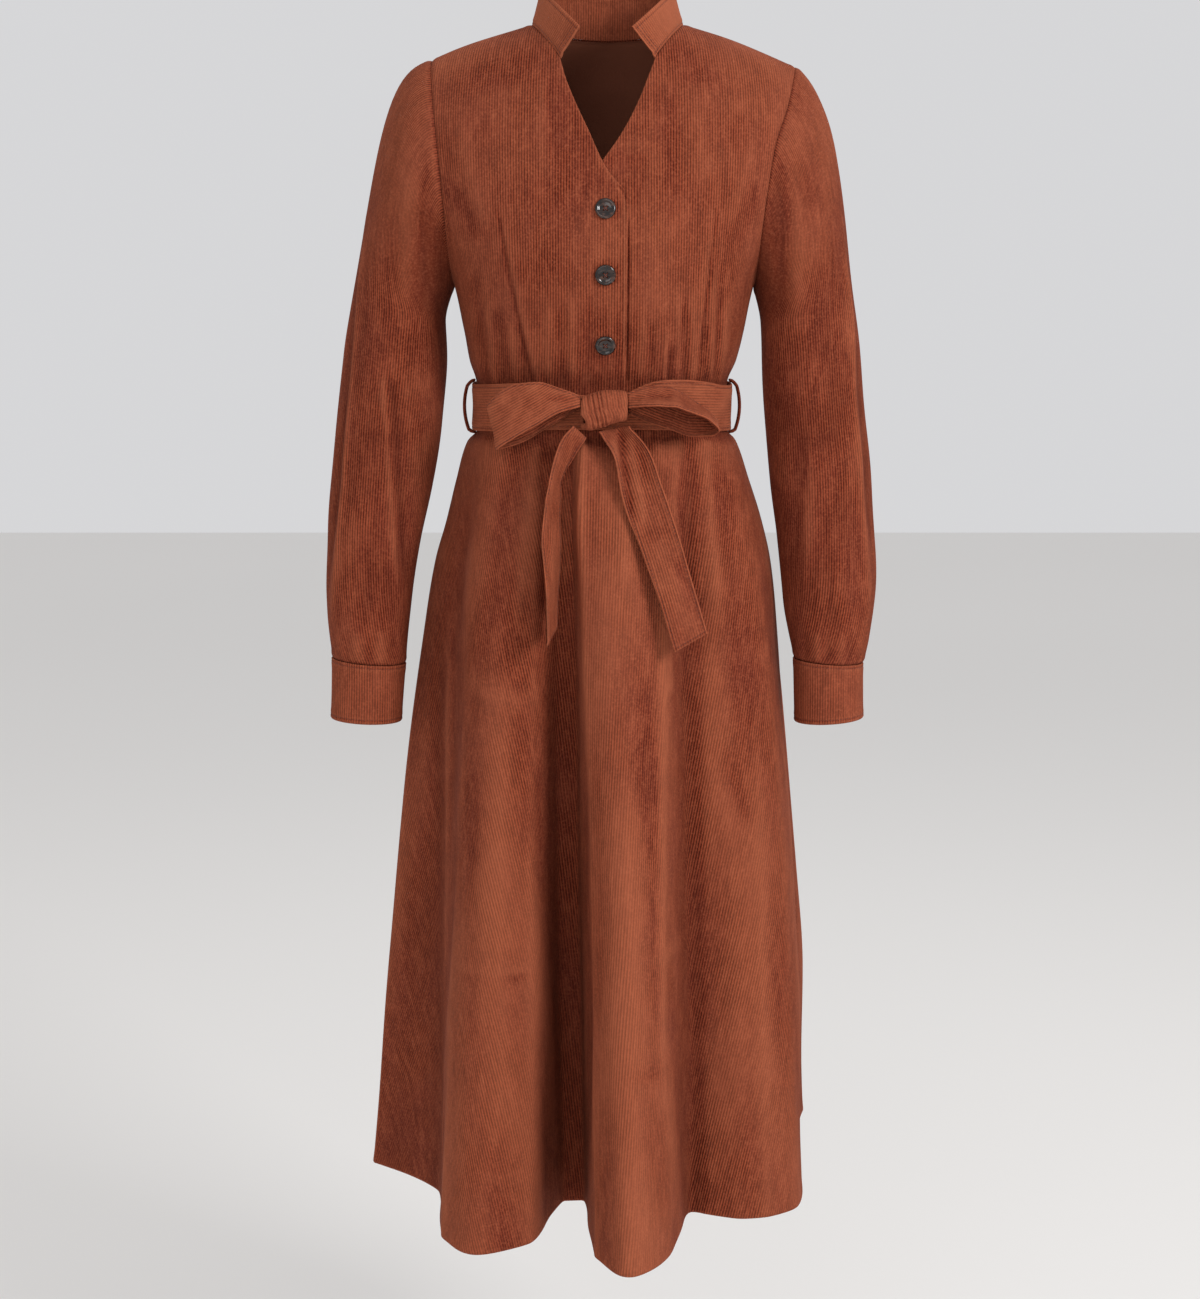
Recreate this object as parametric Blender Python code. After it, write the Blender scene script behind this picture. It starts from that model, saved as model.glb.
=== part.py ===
"""Belted midi dress in corduroy, in its worn form: bodice fronts and back, collar stand, sleeves, cuffs,
A-line skirt, tie belt with bow, belt loops and three buttons. Every panel is a wall of cloth.

Metres, +Z up. The origin is where the garment hangs: the middle of the shoulder line, at the height where the
neck meets the shoulder. The front faces -Y and the wearer's left is +X.
"""

import math

import bmesh
import bpy
import numpy as np
from mathutils import Matrix, Vector

# ---- driving dimensions ----------------------------------------------------------------------------------

WALL = 0.0016  # corduroy
DOUBLE_WALL = 0.0026  # cuffs, collar and belt are two layers
SEAM_GAP = 0.0003  # between neighbouring pieces

WAIST = -0.373  # height of the waist seam
HEM = -1.190
SECTION_ROUND = 2.3  # superellipse exponent of the plan sections

NECK_SIDE = {-1: 0.0715, 1: 0.0785}  # where the collar crosses the shoulder seam, at height 0
NECK_SHIFT = 0.0035  # the neck opening sits this far towards the wearer's left
SHOULDER_TIP = {-1: (0.1710, -0.0345), 1: (0.1900, -0.0405)}
SHOULDER_RISE = 0.002  # how far the shoulder seam arches over the straight line
SHOULDER_ROUND = 0.075  # height over which the shoulder rounds from front to back
ARMPIT = -0.256
ARMHOLE_EASE = 1.55  # crowds the armhole's rows towards the armpit
NECK_CURVE = 1.2  # how the neck seam curves from the notch to the shoulder
BACK_NECK_DROP = 0.010

LAP_EDGE = 0.0205  # the lapped front edge stands this far past the centre
LAP_CLEARANCE = 0.0010
LAP_REACH, LAP_TOP, LAP_FADE = 0.0500, -0.1180, 0.0200  # how far the under front stays sunk, and its ramp
V_FOOT = -0.1640  # where the slanting neck edge turns into the straight front edge
NOTCH = {-1: (0.0428, -0.0362), 1: (0.0498, -0.0355)}  # foot of the collar's front end

BELT_WIDTH = 0.0460
BELT_DROP = 0.0065  # the belt sits this much lower at the sides
BELT_MIDDLE = -0.3700
BELT_TOP = BELT_MIDDLE + BELT_WIDTH / 2
BELT_FOOT = -0.4015  # the skirt starts to flare below this height
BELT_STANDOFF = 0.0048  # belt's outer face from the cloth at the waist seam
BELT_LOOP_WIDTH, BELT_LOOP_BOW = 0.0060, 0.0035
BELT_LOOP_TOP, BELT_LOOP_FOOT = -0.3420, -0.4080

BUTTON_HEIGHTS = (-0.1810, -0.2430, -0.3105)
BUTTON_MIDDLE = 0.0012
BUTTON_DIAMETER = 0.0200
BUTTON_THICKNESS = 0.0030
BUTTON_STANDOFF = -0.0002  # from the rounded surface; the panel's flat facets lie inside it
HOLE_CIRCLE = 0.0024
HOLE_RADIUS = 0.0009

# Rows of each panel's grid, counted between the points that neighbours share
PLACKET_ROWS, V_ROWS, NECK_ROWS = 7, 5, 3
ARMHOLE_ROWS = 10
SIDE_ROWS = PLACKET_ROWS + V_ROWS + NECK_ROWS - ARMHOLE_ROWS
FRONT_COLUMNS = 10
BACK_NECK_COLUMNS = 6
COLLAR_ROWS = 3
CAP_ROWS = 5
SLEEVE_ROWS = 9
CUFF_ROWS = 2
SKIRT_ROWS = 9  # below the belt
SKIRT_COLUMNS = 38  # each half
BELT_COLUMNS = 40
LOOP_ROWS, TAIL_ROWS, BELT_LOOP_ROWS, BAND_COLUMNS_ACROSS = 16, 10, 8, 3
KNOT_RINGS, KNOT_SIDES = 9, 24
BUTTON_SIDES = 24

# Bodice sections: half width, front depth and back depth round a middle that leans `middle` to the side
BODY_COLUMNS = "height half_width front back middle".split()
BODY = [
    (-0.4000, 0.1266, 0.0912, 0.0826, -0.0020),
    (-0.3730, 0.1266, 0.0912, 0.0826, -0.0020),
    (-0.3540, 0.1268, 0.0914, 0.0828, -0.0020),
    (-0.3300, 0.1350, 0.1010, 0.0870, -0.0010),
    (-0.3000, 0.1415, 0.1130, 0.0950, 0.0),
    (-0.2560, 0.1505, 0.1270, 0.1060, 0.0),
    (-0.2100, 0.1680, 0.1320, 0.1130, 0.0),
    (-0.1500, 0.1900, 0.1210, 0.1150, 0.0),
    (-0.1000, 0.2020, 0.1020, 0.1090, 0.0),
    (-0.0500, 0.2080, 0.0800, 0.0900, 0.0),
    (0.0100, 0.2100, 0.0600, 0.0660, 0.0),
]

# Armhole seen from the front: distance of the seam from the middle
ARMHOLE_COLUMNS = "height right left".split()
ARMHOLE = [
    (-0.2560, 0.1505, 0.1505),
    (-0.2200, 0.1545, 0.1535),
    (-0.1700, 0.1578, 0.1590),
    (-0.1200, 0.1625, 0.1672),
    (-0.0800, 0.1672, 0.1805),
    (-0.0405, 0.1708, 0.1900),
    (-0.0345, 0.1710, 0.1912),
]

# V edge of each front, from the straight front edge to the collar's foot; x is towards the other front
V_COLUMNS = "height right left".split()
V_EDGE = [
    (-0.1640, 0.0205, 0.0250),
    (-0.1427, 0.0028, 0.0080),
    (-0.1067, -0.0145, -0.0180),
    (-0.0770, -0.0285, -0.0335),
    (-0.0538, -0.0377, -0.0428),
    (-0.0355, -0.0428, -0.0498),
]

# Sleeve sections down the arm: middle of the section from the body's middle, half sizes, and the angle at
# which the section tilts up on the outside
SLEEVE_COLUMNS = "height right left half_right half_left depth forward tilt_right tilt_left".split()
SLEEVE = [
    (-0.2850, 0.2080, 0.2055, 0.0475, 0.0478, 0.0590, 0.0000, 10.0, 10.0),
    (-0.3300, 0.2115, 0.2098, 0.0515, 0.0495, 0.0570, 0.0010, 8.0, 8.0),
    (-0.3900, 0.2188, 0.2160, 0.0532, 0.0510, 0.0550, 0.0020, 5.0, 5.0),
    (-0.4500, 0.2268, 0.2220, 0.0507, 0.0518, 0.0530, 0.0000, 5.0, 5.0),
    (-0.5100, 0.2348, 0.2270, 0.0477, 0.0502, 0.0500, -0.0080, 5.0, 3.0),
    (-0.5700, 0.2400, 0.2315, 0.0440, 0.0465, 0.0450, -0.0180, 5.0, 0.0),
    (-0.6100, 0.2410, 0.2310, 0.0405, 0.0410, 0.0405, -0.0260, 5.0, -2.0),
    (-0.6330, 0.2405, 0.2300, 0.0378, 0.0358, 0.0345, -0.0310, 5.0, -3.5),
]
# Sleeve head: which way it leaves the seam (x, z) at the shoulder tip and under the arm, how full it is and
# how far it then falls in
UNDERARM_LEAVE = (0.25, -0.97)
CAP_LEAVE = {-1: (0.97, -0.10), 1: (0.80, -0.60)}
CAP_FULLNESS = {-1: 0.75, 1: 0.75}
CAP_FALL = {-1: 0.0050, 1: 0.0005}
CUFF = [
    (-0.6330, 0.2405, 0.2295, 0.0378, 0.0358, 0.0345, -0.0310, 5.0, -3.5),
    (-0.6640, 0.2420, 0.2300, 0.0368, 0.0355, 0.0340, -0.0345, 4.0, 0.0),
    (-0.6930, 0.2435, 0.2305, 0.0362, 0.0352, 0.0335, -0.0380, 3.0, 4.0),
]

# How far each height of the skirt has gone from the waist outline to the hem outline
SPREAD_COLUMNS = "height right left depth hips".split()
SPREAD = [
    (-0.3730, 0.000, 0.000, 0.000, 0.00),
    (-0.4010, 0.010, 0.014, 0.004, 0.00),
    (-0.4150, 0.088, 0.110, 0.045, 0.18),
    (-0.4520, 0.178, 0.255, 0.110, 0.55),
    (-0.4930, 0.270, 0.400, 0.170, 0.85),
    (-0.5350, 0.377, 0.508, 0.230, 1.00),
    (-0.6180, 0.496, 0.620, 0.330, 0.90),
    (-0.7460, 0.647, 0.747, 0.480, 0.50),
    (-0.8970, 0.773, 0.872, 0.655, 0.15),
    (-1.0070, 0.867, 0.950, 0.785, 0.00),
    (-1.1190, 0.943, 0.975, 0.915, 0.00),
    (-1.1900, 1.000, 1.000, 1.000, 0.00),
]
HIP_FRONT, HIP_BACK = 0.020, 0.028  # how far the hips carry the cloth out
HEM_SHARE = 0.75  # how much the columns are spaced by the hem's length rather than by the waist's
SKIRT_EASE = 1.3  # crowds the skirt's rows towards the hem

# Hem outline: a row for each fold's crest, valley or turn. `waist` is the angle at the waist that it comes
# from, in degrees from the front middle towards the wearer's left
FOLD_COLUMNS = "waist x y".split()
FRONT_FOLDS = [
    (-90.0, -0.2490, 0.0020),
    (-69.0, -0.1740, -0.0800),
    (-57.0, -0.1590, -0.1930),
    (-42.0, -0.1250, -0.2345),
    (-28.0, -0.0735, -0.2085),
    (-17.0, -0.0405, -0.1010),
    (-12.0, -0.0215, -0.1010),
    (-8.0, -0.0080, -0.2400),
    (5.0, 0.0240, -0.2840),
    (17.0, 0.0630, -0.2360),
    (32.0, 0.0910, -0.1310),
    (47.0, 0.1400, -0.1490),
    (66.0, 0.2005, -0.1150),
    (90.0, 0.2130, 0.0200),
]
BACK_FOLDS = [
    (90.0, 0.2130, 0.0200),
    (103.0, 0.2150, 0.0850),
    (122.0, 0.2300, 0.1560),
    (137.0, 0.1680, 0.1760),
    (150.0, 0.1080, 0.1500),
    (168.0, 0.0560, 0.2260),
    (183.0, 0.0020, 0.2250),
    (197.0, -0.0420, 0.1620),
    (212.0, -0.0930, 0.1700),
    (227.0, -0.1480, 0.2120),
    (243.0, -0.1900, 0.1420),
    (257.0, -0.2330, 0.0860),
    (270.0, -0.2490, 0.0020),
]

# Top edge of the collar, one half: side distance, depth and height, from the front corner to the back middle
COLLAR_TOP_COLUMNS = "along x y height".split()
COLLAR_TOP = [
    (0.00, 0.0232, -0.0790, -0.0085),
    (0.23, 0.0480, -0.0530, 0.0165),
    (0.46, 0.0640, -0.0040, 0.0335),
    (0.73, 0.0440, 0.0420, 0.0340),
    (1.00, 0.0000, 0.0560, 0.0300),
]

# Bow: each band by its two long edges, from the knot outwards (and back, for the loops)
BAND_COLUMNS = "x y height lower_x lower_y lower_height".split()
LOOP_RIGHT = [
    (-0.0231, -0.1150, -0.3590, -0.0231, -0.1180, -0.3690),
    (-0.0427, -0.1180, -0.3515, -0.0415, -0.1230, -0.3738),
    (-0.0640, -0.1190, -0.3455, -0.0650, -0.1260, -0.3865),
    (-0.0860, -0.1160, -0.3475, -0.0860, -0.1240, -0.3985),
    (-0.1060, -0.1110, -0.3590, -0.1010, -0.1190, -0.4085),
    (-0.1150, -0.1050, -0.3680, -0.1050, -0.1100, -0.4120),
    (-0.1060, -0.1005, -0.3630, -0.0990, -0.1030, -0.4110),
    (-0.0830, -0.1005, -0.3580, -0.0800, -0.1035, -0.4050),
    (-0.0560, -0.1010, -0.3550, -0.0545, -0.1040, -0.3905),
    (-0.0360, -0.1020, -0.3560, -0.0350, -0.1040, -0.3790),
    (-0.0231, -0.1030, -0.3610, -0.0231, -0.1040, -0.3710),
]
LOOP_LEFT = [
    (0.0231, -0.1130, -0.3560, 0.0231, -0.1180, -0.3700),
    (0.0445, -0.1100, -0.3500, 0.0440, -0.1310, -0.3680),
    (0.0620, -0.1080, -0.3500, 0.0650, -0.1380, -0.3680),
    (0.0840, -0.1080, -0.3610, 0.0870, -0.1390, -0.3735),
    (0.1010, -0.1060, -0.3730, 0.1040, -0.1340, -0.3820),
    (0.1110, -0.1020, -0.3830, 0.1120, -0.1230, -0.3930),
    (0.1030, -0.0990, -0.3790, 0.1040, -0.1130, -0.3985),
    (0.0850, -0.0985, -0.3680, 0.0870, -0.1080, -0.3990),
    (0.0640, -0.0990, -0.3610, 0.0660, -0.1060, -0.3930),
    (0.0400, -0.1010, -0.3590, 0.0390, -0.1050, -0.3835),
    (0.0231, -0.1030, -0.3610, 0.0231, -0.1050, -0.3765),
]
TAIL_RIGHT = [
    (-0.0215, -0.1140, -0.3800, -0.0100, -0.1080, -0.3895),
    (-0.0425, -0.1300, -0.4036, -0.0290, -0.1140, -0.4200),
    (-0.0525, -0.1420, -0.4377, -0.0405, -0.1180, -0.4445),
    (-0.0574, -0.1490, -0.4693, -0.0415, -0.1210, -0.4693),
    (-0.0593, -0.1530, -0.4970, -0.0415, -0.1240, -0.4970),
    (-0.0560, -0.1610, -0.5355, -0.0425, -0.1280, -0.5300),
    (-0.0552, -0.1680, -0.5680, -0.0445, -0.1340, -0.5580),
    (-0.0540, -0.1740, -0.5950, -0.0457, -0.1400, -0.5830),
]
TAIL_LEFT = [
    (-0.0060, -0.1110, -0.3905, 0.0215, -0.1110, -0.3860),
    (0.0096, -0.1250, -0.4188, 0.0440, -0.1230, -0.4130),
    (0.0173, -0.1370, -0.4557, 0.0560, -0.1350, -0.4450),
    (0.0347, -0.1520, -0.5026, 0.0705, -0.1480, -0.4870),
    (0.0530, -0.1640, -0.5529, 0.0850, -0.1590, -0.5353),
    (0.0675, -0.1740, -0.6011, 0.0992, -0.1680, -0.5835),
]
TAIL_TROUGH = 0.010  # how deep the left tail folds in where it leaves the knot
TROUGH_REACH = 0.6  # share of its length over which that fold dies out

KNOT_COLUMNS = "along half_height half_depth drop".split()
KNOT = [
    (-1.0, 0.0130, 0.0085, 0.0030),
    (-0.9, 0.0165, 0.0105, 0.0025),
    (-0.5, 0.0178, 0.0120, 0.0020),
    (0.0, 0.0180, 0.0125, 0.0000),
    (0.5, 0.0172, 0.0120, -0.0015),
    (0.9, 0.0150, 0.0105, -0.0025),
    (1.0, 0.0120, 0.0085, -0.0030),
]
KNOT_HALF_LENGTH = 0.0228
KNOT_RIDGE, KNOT_RIDGES, KNOT_TWIST = 0.05, 4, 2.6  # height, number and slant of its creases
KNOT_SQUARE = 0.8  # below 1 squares its section
KNOT_MIDDLE = (0.0, -0.1092, -0.3690)


# ---- tables and curves -----------------------------------------------------------------------------------


def column(table, names, name):
    return np.array([row[names.index(name)] for row in table], float)


def smooth(stations, values, at):
    """Monotone cubic through the values at the stations: it rounds the corners and never overshoots."""
    x, y, at = np.asarray(stations, float), np.asarray(values, float), np.asarray(at, float)
    if x[0] > x[-1]:
        x, y = x[::-1], y[::-1]
    step, slope = np.diff(x), np.diff(y) / np.diff(x)
    before, after = slope[:-1], slope[1:]
    same = before * after > 0
    weigh_before, weigh_after = 2 * step[1:] + step[:-1], step[1:] + 2 * step[:-1]
    pull = weigh_before / np.where(same, before, 1) + weigh_after / np.where(same, after, 1)
    inner = np.where(same, (weigh_before + weigh_after) / np.where(same, pull, 1), 0)
    tangent = np.concatenate([slope[:1], inner, slope[-1:]])
    i = np.clip(np.searchsorted(x, at, side="right") - 1, 0, len(x) - 2)
    h = step[i]
    t = np.clip((at - x[i]) / h, 0.0, 1.0)
    return (
        (1 + 2 * t) * (1 - t) ** 2 * y[i]
        + t * (1 - t) ** 2 * h * tangent[i]
        + t * t * (3 - 2 * t) * y[i + 1]
        + t * t * (t - 1) * h * tangent[i + 1]
    )


def read(table, names, name, at):
    return smooth(column(table, names, names[0]), column(table, names, name), at)


# ---- the bodice's surface --------------------------------------------------------------------------------


def shoulder_line(x):
    """Height of the shoulder seam above each x."""
    side = np.where(np.asarray(x) < 0, -1, 1)
    neck_x = np.where(side < 0, NECK_SIDE[-1], NECK_SIDE[1])
    tip_x = np.where(side < 0, SHOULDER_TIP[-1][0], SHOULDER_TIP[1][0])
    tip_z = np.where(side < 0, SHOULDER_TIP[-1][1], SHOULDER_TIP[1][1])
    share = (np.abs(x) - neck_x) / (tip_x - neck_x)
    return tip_z * share + SHOULDER_RISE * np.sin(math.pi * np.clip(share, 0, 1))


def torso(angle, height):
    """Points of the worn bodice. The angle runs from the front middle towards the wearer's left."""
    angle, height = np.broadcast_arrays(np.asarray(angle, float), np.asarray(height, float))
    sine, cosine = np.sin(angle), np.cos(angle)
    power = 2 / SECTION_ROUND
    half = read(BODY, BODY_COLUMNS, "half_width", height)
    front = read(BODY, BODY_COLUMNS, "front", height)
    back = read(BODY, BODY_COLUMNS, "back", height)
    x = half * np.sign(sine) * np.abs(sine) ** power
    depth = np.where(cosine > 0, front, back) * np.abs(cosine) ** power
    below = np.clip((shoulder_line(x) - height) / SHOULDER_ROUND, 0.0, 1.0)
    depth = depth * np.sqrt(1 - (1 - below) ** 2)
    x = x + read(BODY, BODY_COLUMNS, "middle", height)
    return np.stack([x, -np.sign(cosine) * depth, height], -1)


def angle_at(x, height, behind=False):
    """The torso angle of the point that shows at x, on the front or behind."""
    half = read(BODY, BODY_COLUMNS, "half_width", height)
    side = (np.asarray(x, float) - read(BODY, BODY_COLUMNS, "middle", height)) / half
    turn = np.arcsin(np.clip(np.abs(side) ** (SECTION_ROUND / 2), 0, 1)) * np.sign(side)
    return math.pi - turn if behind else turn


def patch(bottom, top, left, right):
    """Coons patch between four edges, each an array of (angle, height)."""
    s = np.linspace(0, 1, len(bottom))[None, :, None]
    t = np.linspace(0, 1, len(left))[:, None, None]
    ruled = (1 - t) * bottom[None] + t * top[None] + (1 - s) * left[:, None] + s * right[:, None]
    low = (1 - s) * bottom[0] + s * bottom[-1]
    high = (1 - s) * top[0] + s * top[-1]
    return ruled - (1 - t) * low - t * high


def edge(heights, xs, behind=False):
    heights = np.asarray(heights, float)
    return np.stack([angle_at(np.asarray(xs, float), heights, behind), heights], -1)


def side_edge(side, behind):
    """Side seam from the waist to the armpit, then the armhole up to the shoulder tip."""
    seam = np.append(WAIST, np.linspace(BELT_TOP - BELT_DROP, ARMPIT, SIDE_ROWS))
    quarter = math.pi / 2 if side > 0 else (1.5 * math.pi if behind else -math.pi / 2)
    low = np.stack([np.full_like(seam, quarter), seam], -1)
    ease = np.linspace(0, 1, ARMHOLE_ROWS + 1)[1:]
    heights = ARMPIT + (SHOULDER_TIP[side][1] - ARMPIT) * ease**ARMHOLE_EASE
    xs = side * read(ARMHOLE, ARMHOLE_COLUMNS, "right" if side < 0 else "left", heights)
    return np.concatenate([low, edge(heights, xs, behind)])


def front_edge(side):
    """A front's edge from the waist up: the straight edge, the V, then the neck seam to the shoulder."""
    straight = np.append(WAIST, np.linspace(BELT_TOP, V_FOOT, PLACKET_ROWS))
    slant = np.linspace(V_FOOT, NOTCH[side][1], V_ROWS + 1)[1:]
    neck = np.linspace(NOTCH[side][1], 0, NECK_ROWS + 1)[1:]
    across = read(V_EDGE, V_COLUMNS, "right" if side < 0 else "left", slant)
    bow = 1 - neck / NOTCH[side][1]
    reach = NOTCH[side][0] + (NECK_SIDE[side] - NOTCH[side][0]) * bow**NECK_CURVE
    xs = np.concatenate([np.full(len(straight), LAP_EDGE), across, -reach]) * -side
    return edge(np.concatenate([straight, slant, neck]), xs)


def shoulder_edge(side, columns, behind=False):
    """Shoulder seam from the neck to the shoulder tip."""
    xs = side * np.linspace(NECK_SIDE[side], SHOULDER_TIP[side][0], columns + 1)
    return edge(shoulder_line(xs), xs, behind)


def front_panel(side):
    inner, outer = front_edge(side), side_edge(side, False)
    turns = np.linspace(inner[0, 0], outer[0, 0], FRONT_COLUMNS + 1)
    waist = np.stack([turns, np.full_like(turns, WAIST)], -1)
    top = shoulder_edge(side, FRONT_COLUMNS)
    if side < 0:
        grid = patch(waist[::-1], top[::-1], outer, inner)
    else:
        grid = patch(waist, top, inner, outer)
    return torso(grid[..., 0], grid[..., 1])


def under_the_lap(points):
    """The wearer's left front lies one wall deeper where the other front laps over it."""
    x, y, z = points[..., 0], points[..., 1], points[..., 2]
    inside = np.clip((LAP_REACH - x) / LAP_FADE, 0, 1)
    below = np.clip((LAP_TOP - z) / LAP_FADE, 0, 1)
    depth = (WALL + LAP_CLEARANCE) * inside**2 * (3 - 2 * inside) * below**2 * (3 - 2 * below)
    return np.stack([x, y + depth, z], -1)


def back_panel():
    columns = 2 * FRONT_COLUMNS + BACK_NECK_COLUMNS
    left, right = side_edge(1, True), side_edge(-1, True)
    waist = np.stack([np.linspace(left[0, 0], right[0, 0], columns + 1), np.full(columns + 1, WAIST)], -1)
    turn = np.linspace(0, math.pi, BACK_NECK_COLUMNS + 1)[1:-1]
    neck_half = (NECK_SIDE[1] + NECK_SIDE[-1]) / 2
    neck = edge(-BACK_NECK_DROP * np.sin(turn), NECK_SHIFT + neck_half * np.cos(turn), True)
    shoulders = [shoulder_edge(side, FRONT_COLUMNS, True) for side in (1, -1)]
    top = np.concatenate([shoulders[0][::-1], neck, shoulders[1]])
    grid = patch(waist, top, left, right)
    return torso(grid[..., 0], grid[..., 1])


# ---- collar, sleeves and cuffs ---------------------------------------------------------------------------


def collar_panel(front_left, front_right, back):
    """The stand, from the neck seam up. Its foot is the neck edge of the three bodice panels."""
    left = front_left[-NECK_ROWS - 1 :, 0]
    right = front_right[-NECK_ROWS - 1 :, -1]
    behind = back[-1, FRONT_COLUMNS : FRONT_COLUMNS + BACK_NECK_COLUMNS + 1]
    foot = np.concatenate([left, behind[1:-1], right[::-1]])
    run = np.concatenate([[0], np.cumsum(np.linalg.norm(np.diff(foot, axis=0), axis=1))])
    run /= run[-1]
    along = 1 - np.abs(1 - 2 * run)
    side = np.where(run < 0.5, 1, -1)
    wide = np.where(side > 0, NOTCH[1][0] / NOTCH[-1][0], 1.0)
    x = side * read(COLLAR_TOP, COLLAR_TOP_COLUMNS, "x", along) * (1 + (wide - 1) * (1 - along) ** 2)
    y = read(COLLAR_TOP, COLLAR_TOP_COLUMNS, "y", along)
    x = x + NECK_SHIFT * along
    top = np.stack([x, y, read(COLLAR_TOP, COLLAR_TOP_COLUMNS, "height", along)], -1)
    rise = np.linspace(0, 1, COLLAR_ROWS + 1)[:, None, None]
    return foot[None] * (1 - rise) + top[None] * rise


def sleeve_ring(table, side, height, turn):
    """Section of a sleeve or cuff. turn is 0 on the outside of the arm and pi next to the body."""
    name = "right" if side < 0 else "left"
    middle = read(table, SLEEVE_COLUMNS, name, height)
    half = read(table, SLEEVE_COLUMNS, "half_" + name, height)
    tilt = np.tan(np.radians(read(table, SLEEVE_COLUMNS, "tilt_" + name, height)))
    depth = read(table, SLEEVE_COLUMNS, "depth", height)
    x = side * (middle + half * np.cos(turn))
    y = read(table, SLEEVE_COLUMNS, "forward", height) - depth * np.sin(turn)
    return np.stack([x, y, height + tilt * half * np.cos(turn)], -1)


def sleeve_panel(side, front, back):
    """Rings from the armhole to the cuff. Columns start at the shoulder tip and go round by the front."""
    edge_column = 0 if side < 0 else -1
    down_front = front[SIDE_ROWS:, edge_column][::-1]
    up_back = back[SIDE_ROWS:, -1 if side < 0 else 0]
    armhole = np.concatenate([down_front, up_back[1:-1]])
    turn = math.pi * np.arange(len(armhole)) / ARMHOLE_ROWS
    top, step = SLEEVE[0][0], 0.020
    ring = sleeve_ring(SLEEVE, side, top, turn)
    below = sleeve_ring(SLEEVE, side, top - step, turn)
    outside = ((1 + np.cos(turn)) / 2)[:, None]
    leave = np.array([[side * UNDERARM_LEAVE[0], 0, UNDERARM_LEAVE[1]]]) * (1 - outside)
    leave = leave + np.array([[side * CAP_LEAVE[side][0], 0, CAP_LEAVE[side][1]]]) * outside
    span = np.linalg.norm(ring - armhole, axis=1, keepdims=True)
    start = leave * span * CAP_FULLNESS[side]
    fall = np.array([[-side * CAP_FALL[side], 0, 0]]) * outside
    end = (below - ring) / step * span
    rows = []
    for t in np.linspace(0, 1, CAP_ROWS + 1)[:-1]:
        rows.append(
            (2 * t**3 - 3 * t**2 + 1) * armhole
            + (t**3 - 2 * t**2 + t) * start
            + (3 * t**2 - 2 * t**3) * ring
            + (t**3 - t**2) * end
            + math.sin(math.pi * t) ** 2 * fall
        )
    for height in np.linspace(top, SLEEVE[-1][0], SLEEVE_ROWS + 1):
        rows.append(sleeve_ring(SLEEVE, side, height, turn))
    return np.array(rows)


def cuff_panel(side):
    turn = math.pi * np.arange(2 * ARMHOLE_ROWS) / ARMHOLE_ROWS
    heights = np.linspace(CUFF[0][0], CUFF[-1][0], CUFF_ROWS + 1)
    return np.array([sleeve_ring(CUFF, side, height, turn) for height in heights])


# ---- skirt -----------------------------------------------------------------------------------------------


def skirt(waist_angle, height):
    """Points of the skirt: a column leaves the waist at its angle and ends at its place in the hem."""
    waist_angle, height = np.broadcast_arrays(waist_angle, height)
    degrees = np.degrees(waist_angle)
    foot = {}
    for name in ("x", "y"):
        in_front = read(FRONT_FOLDS, FOLD_COLUMNS, name, degrees)
        foot[name] = np.where(degrees <= 90, in_front, read(BACK_FOLDS, FOLD_COLUMNS, name, degrees))
    right, left, depth, hips = (read(SPREAD, SPREAD_COLUMNS, name, height) for name in SPREAD_COLUMNS[1:])
    spread = right + (left - right) * (1 + np.sin(waist_angle)) / 2
    top = torso(waist_angle, WAIST)
    x = top[..., 0] + (foot["x"] - top[..., 0]) * spread
    y = top[..., 1] + (foot["y"] - top[..., 1]) * depth
    ahead = np.cos(waist_angle)
    y = y - np.where(ahead > 0, HIP_FRONT, HIP_BACK) * ahead * hips
    return np.stack([x, y, height], -1)


def skirt_angles(folds, columns):
    """Column angles at the waist, closer together where the hem outline is long."""
    first, last = folds[0][0], folds[-1][0]
    fine = np.radians(np.linspace(first, last, 721))
    hem = skirt(fine, HEM)
    run = np.concatenate([[0], np.cumsum(np.linalg.norm(np.diff(hem, axis=0), axis=1))])
    even = np.linspace(0, 1, len(fine))
    measure = HEM_SHARE * run / run[-1] + (1 - HEM_SHARE) * even
    return np.interp(np.linspace(0, 1, columns + 1), measure, fine)


def skirt_panel(folds):
    angles = skirt_angles(folds, SKIRT_COLUMNS)
    share = np.linspace(0, 1, SKIRT_ROWS + 1)
    heights = BELT_FOOT + (HEM - BELT_FOOT) * (1 - share) ** SKIRT_EASE
    heights = np.append(heights, WAIST - SEAM_GAP)
    return skirt(angles[None, :], heights[:, None])


# ---- belt, bow and belt loops ----------------------------------------------------------------------------


def belt_panel():
    angles = 2 * math.pi * np.arange(BELT_COLUMNS) / BELT_COLUMNS
    rows = []
    for up in (-0.5, 0.0, 0.5):
        ring = torso(angles, WAIST)
        ring[:, 0] += BELT_STANDOFF * np.sin(angles)
        ring[:, 1] -= BELT_STANDOFF * np.cos(angles)
        ring[:, 2] = BELT_MIDDLE - BELT_DROP * np.sin(angles) ** 2 + up * BELT_WIDTH
        rows.append(ring)
    return np.array(rows)


def band_panel(table, rows, columns, trough=0.0):
    """A band between its two long edges. A trough pushes its middle back where it leaves the knot."""
    places = np.array([row[:3] for row in table]), np.array([row[3:] for row in table])
    middle = (places[0] + places[1]) / 2
    run = np.concatenate([[0], np.cumsum(np.linalg.norm(np.diff(middle, axis=0), axis=1))])
    at = np.linspace(0, run[-1], rows + 1)
    first, second = (np.stack([smooth(run, p[:, k], at) for k in range(3)], -1) for p in places)
    share = np.linspace(0, 1, columns + 1)[None, :, None]
    grid = second[:, None] * (1 - share) + first[:, None] * share
    fade = np.clip(1 - at / (TROUGH_REACH * run[-1]), 0, 1)[:, None]
    grid[..., 1] += trough * fade * np.sin(math.pi * share[..., 0])
    return grid


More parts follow.
